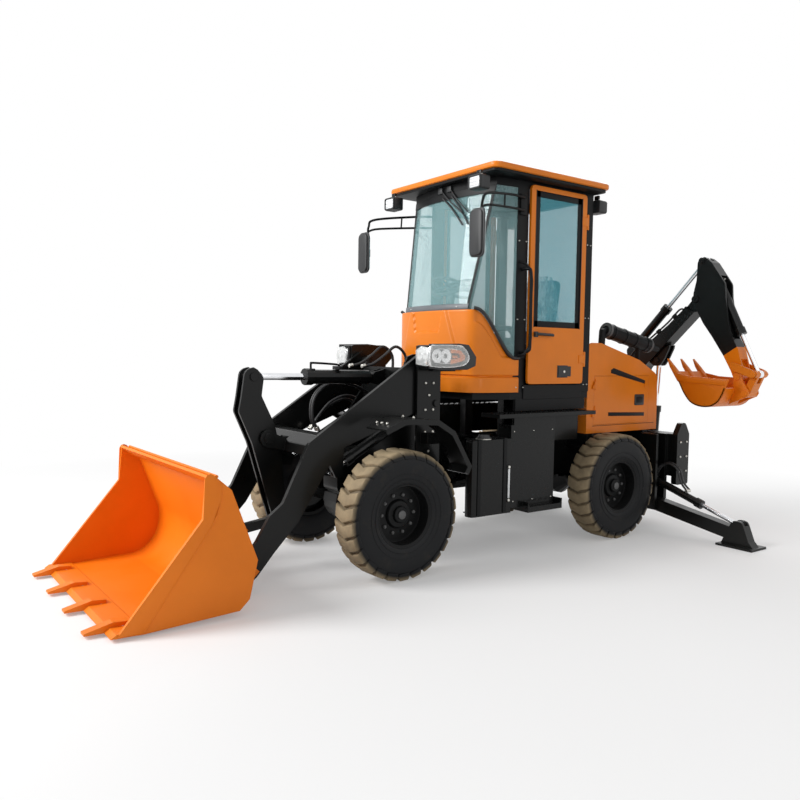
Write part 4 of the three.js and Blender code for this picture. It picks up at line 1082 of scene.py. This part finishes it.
LAMP = [(286, 1434), (272, 1500), (286, 1578), (330, 1586), (520, 1588), (588, 1576), (642, 1512),
        (628, 1462), (560, 1436), (400, 1426)]
SHELL = [(286, 1420), (282, 1592), (560, 1600), (648, 1592), (722, 1505), (716, 1440), (640, 1412), (400, 1410)]
NOSE = [(470, 1446), (600, 1436), (612, 1500), (604, 1566), (520, 1576), (462, 1548)]
TURN_SIGNAL = [(470, 1450), (600, 1478), (606, 1512), (560, 1552), (468, 1556), (470, 1530), (545, 1528),
               (560, 1500), (470, 1484)]
TURN_MARK = [(486, 1496), (532, 1496), (532, 1514), (486, 1514)]
lamp = Piece("headlamps", "front_frame")
lamp.slab("x", SHELL, 590, 600, black_plastic, 4)
lamp.slab("x", LAMP, 598, 606, reflector, 3)
for outline in (TURN_SIGNAL, TURN_MARK):
    lamp.slab("x", outline, 604, 611, amber_lens, 2)
for share, x in ((0.97, 612), (0.62, 606)):
    ring = [(x, y, z) for y, z in shrunk(LAMP, share)]
    lamp.pipe(ring + ring[:1], 3.5, reflector, 6, 3)
for y in (345, 425):
    lamp.turned((600, y, 1508), (1, 0, 0), bowl(48, 12, 8), reflector, 28)
lamp.slab("x", LAMP, 606, 618, clear_lens.material, 5)
lamp.slab("y", NOSE, 279, 289, reflector, 4)
lamp.slab("y", NOSE, 264, 280, clear_lens.material, 7)
for x in (506, 566):
    lamp.turned((x, 281, 1508), (0, -1, 0), bowl(28, 8, 5), reflector, 20)
lamp.block((500, 560), (360, 560), (1400, 1424), satin_black, 3)
lamp.both_sides()
lamp.place()

# %% [markdown]
# The mirrors have deep, rounded backs of moulded plastic, on arms of bent tube. The heads replace the packed
# blocks. The outline of the head is drawn once, and drawn in for the back and for the glass, so the three
# always sit in one another.

# %% Mirrors
MIRROR_X, MIRROR_Z = 720, 2375
for hand, sign in HANDS:
    mirror = Piece(f"mirror.{hand}.head", "rear_frame")
    head = [(sign * x, z) for x, z in rounded((646, 794), (2204, 2546), 42, 6)]

    def drawn_in(wide, tall):
        middle = sign * MIRROR_X
        return [(middle + (x - middle) * wide, MIRROR_Z + (z - MIRROR_Z) * tall) for x, z in head]

    mirror.slab("y", head, 590, 606, black_plastic, 5)
    mirror.slab("y", drawn_in(0.86, 0.93), 574, 594, black_plastic, 9)
    mirror.slab("y", drawn_in(0.90, 0.95), 606, 613, mirror_glass, 2)
    upper = [(720, 640, 2375), (720, 636, 2520), (720, 640, 2600), (712, 700, 2664), (600, 1060, 2716),
             (542, 1228, 2726)]
    lower = [(720, 640, 2560), (700, 730, 2588), (600, 1060, 2620), (542, 1228, 2629)]
    for bar, radius in ((upper, 10), (lower, 9), ([(642, 925, 2606), (640, 930, 2698)], 7)):
        mirror.pipe(mirrored(sign, bar), radius, satin_black)
    mirror.block(span(sign, 696, 744), (608, 648), (2340, 2410), black_plastic, 8)
    mirror.block(span(sign, 529, 541), (1196, 1262), (2596, 2756), satin_black, 3)
    mirror.place(replaces=[f"mirror_{hand}"], slot="black_plastic")

# %% [markdown]
# The door glass sits in a black rubber channel inside the painted frame. Below it are a pull handle and a
# push-button latch in a square recess. These ride with the door. The grab rail beside it is bolted to the cab,
# so it is a separate piece that stays behind when the door swings.

# %% Doors: glass channel, handle, latch, grab rail
GLASS_FRONT, GLASS_BACK, GLASS_LOW, GLASS_TOP = 1346, 1884, 1742, 2806
UPRIGHT_BORDER, LEVEL_BORDER = 52, 54
for hand, sign in HANDS:
    door = Piece(f"door.{hand}.trim", f"door_{hand}_body")
    whole_y, whole_z = (GLASS_FRONT, GLASS_BACK), (GLASS_LOW, GLASS_TOP)
    for y in ((GLASS_FRONT, GLASS_FRONT + UPRIGHT_BORDER), (GLASS_BACK - UPRIGHT_BORDER, GLASS_BACK)):
        door.block(span(sign, 543.5, 547), y, whole_z, satin_black, 0.8)
    for z in ((GLASS_LOW, GLASS_LOW + LEVEL_BORDER), (GLASS_TOP - LEVEL_BORDER, GLASS_TOP)):
        door.block(span(sign, 543.5, 547), whole_y, z, satin_black, 0.8)
    for y in ((GLASS_FRONT, GLASS_FRONT + 6), (GLASS_BACK - 6, GLASS_BACK)):
        door.block(span(sign, 545, 555), y, (GLASS_LOW + 2, GLASS_TOP - 2), hose_rubber, 2)
    door.block(span(sign, 552, 560), (1352, 1400), (1668, 1712), black_plastic, 6)
    handle = [(556, 1376, 1690), (578, 1392, 1692), (582, 1460, 1690), (578, 1548, 1686)]
    door.pipe(mirrored(sign, handle), 11, black_plastic)
    door.block(span(sign, 551, 556), (1630, 1752), (1350, 1448), black_plastic, 5)
    door.block(span(sign, 555, 559), (1650, 1732), (1378, 1420), satin_black, 3)
    door.pin((sign * 560, 1706, 1398), (1, 0, 0), 11, 4, bright_steel)
    for z in (1500, 2620):
        door.pin((sign * 546, 1952, z), (0, 0, 1), 13, 62, orange_paint, 4)
        door.block(span(sign, 550, 557), (1880, 1950), (z - 34, z + 34), orange_paint, 3)
    door.place()
    rail = Piece(f"grab_rail.{hand}", "rear_frame")
    grip = [(512, 1232, 2182), (585, 1240, 2186), (602, 1256, 2150), (603, 1262, 1900), (603, 1262, 1620),
            (598, 1250, 1560), (512, 1232, 1540)]
    rail.pipe(mirrored(sign, grip), 13, satin_black, 12)
    rail.place()

# %% [markdown]
# The rear hood's side doors are cut with long cooling slots and closed by square latches. The shade inside
# each slot is what the eye reads as the opening, so a thin dark inset of painted shade stands in for it. It lies
# on the panel, because the imported hood is closed there, and it is too thin to show from the side.

# %% Hood: painted shade in the slots, latches, seams
LONG_SLOT_SHADE = [(2366, 1412), (2400, 1428), (2842, 1318), (2842, 1288), (2366, 1384)]
LOW_SLOT_SHADE = [(2346, 1012), (2842, 998), (2842, 1030), (2346, 1044)]
SILL = [(2140, 930), (2990, 930), (2990, 934), (2140, 934)]
slot_shade_and_seam = Piece("hood.slots", "rear_frame")
for hand, sign in HANDS:
    hood = Piece(f"hood.{hand}.trim", f"hood_door_{hand}_body")
    low, high = span(sign, 499, 503)
    # The low slot's dark inset is painted shade in its opening.
    hood.slab("x", LOW_SLOT_SHADE, low, high, satin_black, 1)
    proud = 2 if sign > 0 else 0
    hood.slab("x", rounded((2700, 2834), (1096, 1194), 12), low, high + proud, black_plastic, 3)
    hood.slab("x", rounded((2722, 2812), (1118, 1172), 8), *span(sign, 503, 507), satin_black, 2)
    for z in (1060, 1290):
        hood.pin((sign * 503, 2164, z), (0, 0, 1), 7, 46, orange_paint, 2)
    hood.place()
    # The long slot's dark inset is painted shade in its opening; the thin sill under it is a dark seam.
    slot_shade_and_seam.slab("x", LONG_SLOT_SHADE, low, high, satin_black, 1)
    slot_shade_and_seam.slab("x", SILL, low, high - 2, satin_black)
slot_shade_and_seam.place()

# %% [markdown]
# Hydraulic hoses are black rubber with swaged steel ends. They are held at both ends, so each stays on one
# moving part. It is drawn as a round pipe through a few points, and each end gets a turned collar. The tilt
# cylinder has a hard steel pipe along its barrel instead, because a barrel can't bend a hose.


# %% Hoses on the loader
def hose(piece, points, radius=11):
    piece.pipe(points, radius, hose_rubber, 10, 7)
    for end, inner in ((points[0], points[1]), (points[-1], points[-2])):
        way = Vector(inner) - Vector(end)
        middle = Vector(end) + way.normalized() * 16
        piece.pin(tuple(middle), tuple(way), radius + 4, 17, bright_steel, 2, 12)


tilt = Piece("tilt.pipe", "tilt_cylinder_body")
tilt_line = [(4, -318, 1402), (4, -318, 1438), (4, -300, 1446), (4, -110, 1436), (4, -80, 1424)]
tilt.pipe(tilt_line, 8, satin_black)
tilt.block((-30, 38), (-330, -300), (1386, 1406), satin_black, 3)
tilt.block((-44, 54), (-112, -78), (1398, 1424), satin_black, 3)
tilt.place()
OVER_CHASSIS = [(60, 1424), (160, 1444), (262, 1506), (362, 1574), (448, 1520), (462, 1420), (440, 1340)]
DOWN_ARMS = [(282, 1190), (150, 1262), (0, 1300), (-150, 1272), (-240, 1180), (-250, 1040), (-200, 950)]
arm_hoses = Piece("hoses.arms", "front_frame")
for path, places in ((OVER_CHASSIS, (-86, 86)), (DOWN_ARMS, (-110, -84))):
    for x in places:
        hose(arm_hoses, [(x, y, z) for y, z in path])
for hand in (-1, 1):
    for k in (0, 1):
        to_ram = [(330, 1140 - 40 * k), (180, 1190 - 30 * k), (40, 1150 - 30 * k), (-60, 1060 - 20 * k),
                  (-150, 940)]
        hose(arm_hoses, [(hand * (296 + 24 * k), y, z) for y, z in to_ram])
    arm_hoses.block(span(hand, 282, 336), (322, 352), (1070, 1160), satin_black, 3)
arm_hoses.block((-128, -66), (262, 300), (1168, 1206), satin_black, 3)
arm_hoses.place()

# %% [markdown]
# Bolted joints: a machine like this is held by rows of hexagon bolts. Their places are given as points with the
# way each head faces, and the tree sets one stamp on every point with its own turn.

# %% Bolts
def side_bolts(x, places):
    """Bolts on both outer faces that stand x from the middle, at each (y, z)."""
    return [((hand * x, y, z), (hand, 0, 0)) for hand in (-1, 1) for y, z in places]


def grid(ys, zs):
    return [(y, z) for y in ys for z in zs]


tower = grid((372, 442), (1313, 1120)) + [(405, 1226), (405, 1040), (372, 960), (442, 960), (405, 820)]
spots = side_bolts(449, tower)
spots += [((hand * x, -120, 1056), (0, -0.55, 0.83)) for hand in (-1, 1) for x in (560, 620, 680)]
spots += [((hand * x, 80, 1090), (0, 0, 1)) for hand in (-1, 1) for x in (580, 700)]
copies_on("bolts.towers", "front_frame", BOLT, spots, bright_steel)
spots = side_bolts(590, grid((1130, 1340, 1550), (400, 940)))
spots += side_bolts(528, grid((1195, 1270), (1275, 1800, 2400)))
spots += side_bolts(528, grid((1975, 2015), (1290, 1840, 2440)))
copies_on("bolts.cab", "rear_frame", SMALL_BOLT, spots, bright_steel)
spots = side_bolts(800, grid((2970, 3060), (520, 650, 780)))
spots += [((x, 3101, z), (0, 1, 0)) for x, z in grid((-640, -440, -240), (510, 810))]
copies_on("bolts.slide_frame", "rear_frame", BOLT, spots, bright_steel)

# %% [markdown]
# Steps are chequer plate: short raised bars that cross at right angles, so a wet boot holds. One bar is stamped
# on a grid of points, facing up, each turned the other way from its neighbour.

# %% Step plates and tank gauge
bar_shape = Piece("tread bar", None)
bar_shape.slab("z", [(-11, 0), (0, -3), (11, 0), (0, 3)], -1, 2.2, satin_black)
TREAD_BAR = stamp(bar_shape)
PITCH_ALONG, PITCH_ACROSS = 31, 32
PLATES = ((470, 945, 1080.5, 6, 32), (528, 1260, 390.5, 4, 12))
for turn, name in ((math.pi / 4, "a"), (-math.pi / 4, "b")):
    studs = []
    for hand in (-1, 1):
        for x, y, z, across, along in PLATES:
            for i in range(along):
                for j in range(across):
                    if (i + j) % 2 == (name == "a"):
                        studs.append(((hand * (x + PITCH_ACROSS * j), y + PITCH_ALONG * i, z), (0, 0, 1)))
    data = TREAD_BAR.data.copy()
    data.transform(Matrix.Rotation(turn, 4, "Z"))
    STAMPS.append(new_object("turned bar", data))
    copies_on("tread_bars." + name, "rear_frame", STAMPS[-1], studs, satin_black, 0.0)

gauge = Piece("tank.gauge", "rear_frame")
gauge.block((600, 606), (1050, 1088), (404, 690), satin_black, 4)
gauge.block((604, 611), (1060, 1078), (436, 660), white_lens, 3)
for z in (420, 674):
    gauge.pin((608, 1069, z), (1, 0, 0), 11, 6, bright_steel)
CAP = (525, 880, 890)
cap_profile = [(AXIS_GAP, 0), (48, 0), (48, 16), (40, 34), (AXIS_GAP, 36)]
gauge.turned(CAP, (0, 0, 1), cap_profile, black_plastic, 36)
gauge.turned(CAP, (0, 0, 1), [(56, 0), (62, 0), (62, 6), (56, 6)], bright_steel, 36)
STRAP = [(446, 330), (606, 330), (606, 896), (446, 896), (446, 890), (600, 890), (600, 336), (446, 336)]
for hand in (-1, 1):
    for y in (770, 1030):
        gauge.slab("y", [(hand * x, z) for x, z in STRAP], y - 16, y + 16, satin_black)
gauge.place()

# %% [markdown]
# The backhoe's hoses run up the boom on both sides of its ram, clamped to its top, and stop at each joint,
# because a pipe in one piece can't bend there. A short loop on the stick and a pair on each stabilizer ram
# show where the fluid goes next.

# %% Hoses on the backhoe
BACKHOE_Y = 3350
BOOM_TOP = [(49, 1561), (228, 1686), (424, 1837), (563, 1963)]
over_top = [(12, 1262), (-38, 1310), (-32, 1440)] + [(x - 14, z + 18) for x, z in BOOM_TOP[:3]]
over_top += [(536, 1975), (590, 1955)]
boom = Piece("hoses.boom", "boom_body")
for y in (BACKHOE_Y - 66, BACKHOE_Y + 66):
    boom.pipe([(x, y, z) for x, z in over_top], 9, hose_rubber, 8, 5)
    for low, high in zip(BOOM_TOP, BOOM_TOP[1:]):
        along = (Vector(high) - Vector(low)).normalized()
        out = Vector((-along.y, along.x))
        middle = (Vector(low) + Vector(high)) / 2
        clamp = [tuple(middle + along * a + out * b) for a, b in ((-22, -4), (22, -4), (22, 34), (-22, 34))]
        boom.slab("y", clamp, y - 13, y + 13, satin_black, 4)
boom.place()
stick = Piece("hoses.stick", "stick_body")
for y in (BACKHOE_Y - 28, BACKHOE_Y + 28):
    stick.pipe([(712, y, 2150), (770, y, 2230), (850, y, 2262), (905, y, 2235)], 9, hose_rubber, 8, 6)
    stick.pin((905, y, 2235), (0.6, 0, -0.4), 13, 16, bright_steel, 2, 12)
stick.block((700, 724), (3308, 3392), (2128, 2162), satin_black, 4)
stick.place()
for hand, sign in HANDS:
    feed_hoses = Piece(f"hoses.stabilizer.{hand}", f"stabilizer_cylinder_{hand}_body")
    for k in (0, 1):
        y = 2835 + 22 * k
        bend = [(648, y, 480), (690 + 8 * k, y, 560), (776 + 10 * k, y, 596 + 8 * k), (866 + 10 * k, y, 560),
                (910 + 12 * k, y, 450), (960 + 20 * k, y, 392)]
        feed_hoses.pipe(mirrored(sign, bend), 9, hose_rubber, 8, 6)
    feed_hoses.block(span(sign, 630, 670), (2820, 2870), (466, 500), satin_black, 3)
    feed_hoses.pin((sign * 972, 2846, 384), (0, 1, 0), 15, 26, bright_steel)
    feed_hoses.place()

# %% [markdown]
# The loader bucket's mouth is edged with thicker, harder plate: a cutting edge below, side cutters, and a
# rolled bar along the top. A thin liner follows the back, where earth wears it. Each tooth has two bolts.

# %% Bucket edges
CUTTING_EDGE = [(-1906, 17), (-1906, 22), (-1800, 30), (-1730, 26), (-1730, 14), (-1790, 16)]
SIDE_CUTTER = [(-1896, 24), (-1760, 22), (-1380, 560), (-1330, 690), (-1330, 780), (-1372, 834), (-1392, 842),
               (-1412, 836), (-1424, 815), (-1433, 590)]
SIDE_WELD = [(-1755, 26), (-1570, 288), (-1377, 562), (-1330, 690), (-1328, 782)]
LINER = [(-1560, 36), (-1380, 46), (-1270, 74), (-1190, 150), (-1152, 250), (-1150, 350), (-1180, 450),
         (-1232, 590), (-1288, 740)]
edge = Piece("bucket.edges", "loader_bucket_body")
edge.slab("x", CUTTING_EDGE, -798, 798, bucket_paint, 1.5)
edge.pipe([(x, -1352, 822) for x in (-796, 0, 796)], 10, bucket_paint, 10, 2)
for sign in (-1, 1):
    edge.slab("x", SIDE_CUTTER, *span(sign, 797, 805), bucket_paint, 2)
    edge.pipe([(sign * 802, y, z) for y, z in SIDE_WELD], 5, bucket_paint, 6, 4)
liner = curve_through([Vector((0, y, z)) for y, z in LINER], 5)
edge.sheet([[at(x, p.y, p.z) for x in (-783, -260, 260, 783)] for p in liner], bucket_paint, 3)
edge.place()
spots = [((x + dx, -1830, 32), (0, -0.05, 1)) for x in (-640, -210, 210, 640) for dx in (-26, 26)]
copies_on("bucket.tooth_bolts", "loader_bucket_body", BOLT, spots, bright_steel)

# %% [markdown]
# The exhaust's body is a rolled drum with pressed bands and a clamp at each end. Each band is a small profile
# turned about the drum's axis, which is the line between the middles of its ends.

# %% Exhaust bands
DRUM_START, DRUM_END = Vector((360, 2450, 1760)), Vector((360, 3060, 1635))
drum_axis = tuple((DRUM_END - DRUM_START).normalized())
DRUM_BAND = [(60, -9), (69, -7), (71, 0), (69, 7), (60, 9)]
DRUM_CLAMP = [(40, -14), (69, -12), (69, 12), (40, 14)]
muffler = Piece("muffler.bands", "rear_frame")
bands = (DRUM_BAND, satin_black, (0.12, 0.38, 0.62, 0.88))
clamps = (DRUM_CLAMP, cast_iron, (0.02, 0.98))
for profile, finish, places in (bands, clamps):
    for share in places:
        muffler.turned(tuple(DRUM_START.lerp(DRUM_END, share)), drum_axis, profile, finish, 40)
muffler.place()

# %% [markdown]
# The digging bucket is rolled from one plate into a round belly and closed by two flat sides. A thicker band
# runs along the mouth, and three forged teeth are wedged onto adapters. Two ears carry the stick's pin and the
# link's pin. The belly is a sheet through points on a curve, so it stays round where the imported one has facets.

# %% Digging bucket
SCOOP_HALF = 240
BELLY = [(604, 1394), (664, 1308), (718, 1212), (788, 1132), (880, 1098), (980, 1102), (1052, 1142),
         (1094, 1206), (1118, 1268)]
BAND = [(612, 1386), (771, 1354), (1140, 1338), (1120, 1292), (776, 1304), (664, 1318)]
EAR = [(1098, 1400), (1120, 1414), (1156, 1408), (1174, 1386), (1186, 1330), (1240, 1250), (1245, 1226),
       (1228, 1198), (1196, 1184), (1060, 1122), (1084, 1200), (1102, 1300)]
LIP = [(598, 1400), (614, 1404), (700, 1284), (686, 1276)]
TOOTH = [(664, 1352), (600, 1438), (520, 1520), (552, 1440), (640, 1322)]
ADAPTER = [(590, 1442), (566, 1428), (640, 1316), (702, 1276), (716, 1296), (668, 1358)]
scoop = Piece("bucket.digging", "backhoe_bucket_body")
rolled = curve_through([at(x, BACKHOE_Y, z) for x, z in BELLY], 5)
across = [Vector((0, y / 1000, 0)) for y in (-SCOOP_HALF, -80, 80, SCOOP_HALF)]
scoop.sheet([[p + shift for shift in across] for p in rolled], bucket_paint, 12)
side_shape = [(p.x * 1000, p.z * 1000) for p in rolled] + [(1149, 1345), (771, 1362)]
for sign in (-1, 1):
    scoop.slab("y", side_shape, *span(sign, SCOOP_HALF - 14, SCOOP_HALF, BACKHOE_Y), bucket_paint, 2)
    scoop.slab("y", BAND, *span(sign, SCOOP_HALF - 2, SCOOP_HALF + 8, BACKHOE_Y), bucket_paint, 3)
    scoop.slab("y", EAR, *span(sign, 65.5, 85, BACKHOE_Y), bucket_paint, 3)
    for x, z, radius in ((1133, 1371, 32), (1205, 1225, 28)):
        scoop.pin((x, BACKHOE_Y + sign * 89, z), (0, 1, 0), radius, 6, bucket_paint)
scoop.slab("y", LIP, BACKHOE_Y - SCOOP_HALF + 2, BACKHOE_Y + SCOOP_HALF - 2, bucket_paint, 3)
for y in (BACKHOE_Y - 200, BACKHOE_Y, BACKHOE_Y + 200):
    scoop.slab("y", TOOTH, y - 19, y + 19, bucket_paint, 4)
    scoop.slab("y", ADAPTER, y - 28, y + 28, bucket_paint, 5)
scoop.place(replaces=["backhoe_bucket"], slot="orange_paint")

# %% [markdown]
# The shapes that were copied aren't part of the machine, so they leave the scene once the last copy is made.

# %% Put the stamps away
for kept in STAMPS:
    bpy.data.objects.remove(kept)
print("stamps put away:", len(STAMPS))

# %% [markdown]
# The machine stands under soft light. The big lamp in front keeps the bucket and the cowl bright, and the
# weaker lamps leave the left side a little darker, as on an overcast, bright day. Wide discs are used because
# a small lamp would throw hard shadows.


# %% Lamps
def soft_lamp(name, where, target, power):
    lamp = bpy.data.lights.new(name, "AREA")
    lamp.shape = "DISK"
    lamp.size = 5.0
    lamp.energy = power
    lamp_object = new_object(name, lamp)
    lamp_object.location = where
    lamp_object.rotation_euler = (Vector(target) - Vector(where)).to_track_quat("-Z", "Y").to_euler()


soft_lamp("front lamp", (-2.5, -9.0, 6.5), (0.0, -0.6, 1.0), 1050.0)
soft_lamp("side lamp", (8.5, 0.5, 5.0), (0.0, 0.4, 1.0), 80.0)
soft_lamp("back lamp", (-4.0, 7.5, 7.0), (0.0, 0.8, 1.2), 350.0)
print(len(bpy.data.lights), "lamps")

# %% [markdown]
# The background is white without more light on the machine. A Light Path node tells which rays come straight
# from the eye, off a mirror or through a pane; those see white, and all other rays see a soft grey. Near the
# machine the floor keeps most of its own shading, and with it the shadow, and fades to white further out.

# %% Floor and world
SKY_STRENGTH = 0.42
NEAR_SHARE = 0.25


def straight_look(tree):
    """1 for a ray that the eye, a mirror or a pane sends out, and 0 for light that falls on the machine."""
    ray = add_node(tree, "ShaderNodeLightPath").outputs
    look = Shade(tree, ray["Is Camera Ray"]) + ray["Is Glossy Ray"] + ray["Is Transmission Ray"]
    return look.clamp(0.0, 1.0)


def blend(tree, factor, first, second, end):
    """Mix two shaders into the end node's surface."""
    mixed = tree.nodes.new("ShaderNodeMixShader")
    for slot, value in zip(mixed.inputs, (factor, first, second)):
        feed(tree, slot, value)
    tree.links.new(mixed.outputs[0], tree.nodes[end].inputs["Surface"])


WHITE = colour(1.0, 1.0, 1.0)
FLOOR_REACH = 60.0
corners = [(x * FLOOR_REACH, y * FLOOR_REACH, 0) for x, y in ((-1, -1), (1, -1), (1, 1), (-1, 1))]
floor_mesh = bpy.data.meshes.new("floor")
floor_mesh.from_pydata(corners, [], [(0, 1, 2, 3)])
floor = new_object("floor", floor_mesh)
pale = Finish("pale floor")
pale.set(Base_Color=colour(0.86, 0.86, 0.86), Roughness=0.9)
where = pale.add("ShaderNodeSeparateXYZ", Vector=pale.place)
far = (where["X"] * where["X"] + where["Y"] * where["Y"]).ramp(3.2**2, 6.5**2)
share = (far * (1.0 - NEAR_SHARE) + NEAR_SHARE) * straight_look(pale.tree)
glow = pale.add("ShaderNodeEmission", Color=WHITE, Strength=1.0)["Emission"]
blend(pale.tree, share, pale.surface.outputs[0], glow, "Material Output")
floor.data.materials.append(pale.material)

world = bpy.data.worlds.new("soft sky")
bpy.context.scene.world = world
world.use_nodes = True
sky = world.node_tree
dim = sky.nodes["Background"]
feed(sky, dim.inputs["Color"], WHITE)
feed(sky, dim.inputs["Strength"], SKY_STRENGTH)
bright = add_node(sky, "ShaderNodeBackground", Color=WHITE, Strength=1.0)
blend(sky, straight_look(sky), dim.outputs[0], bright.outputs[0], "World Output")

print("floor reaches", FLOOR_REACH, "m, sky strength", SKY_STRENGTH)

# %% [markdown]
# The camera stands at the machine's left front corner, at a standing person's eye height, turned a little
# down and rolled slightly. Its turn is built from three directions, ahead, aside and up, because that reads
# more plainly than three angles in a row.

# %% Camera
AZIMUTH = math.radians(53.951)
PITCH = math.radians(3.336)
ROLL = math.radians(0.891)
EYE = (4793, -3014, 1509)
FOCAL_LENGTH = 34.46
forward = Vector((-math.sin(AZIMUTH) * math.cos(PITCH), math.cos(AZIMUTH) * math.cos(PITCH), -math.sin(PITCH)))
level = Vector((math.cos(AZIMUTH), math.sin(AZIMUTH), 0.0))
upright = level.cross(forward)
side = math.cos(ROLL) * level + math.sin(ROLL) * upright
top = math.cos(ROLL) * upright - math.sin(ROLL) * level
lens = bpy.data.cameras.new("camera")
lens.sensor_width = 36.0
lens.lens = FOCAL_LENGTH
camera = new_object("camera", lens)
turn = Matrix((side, top, -forward)).transposed().to_4x4()
camera.matrix_world = Matrix.Translation(at(*EYE)) @ turn
bpy.context.scene.camera = camera
print("camera", [round(v, 2) for v in camera.matrix_world.translation], lens.lens, "mm")
bpy.context.scene.view_settings.view_transform = "Standard"
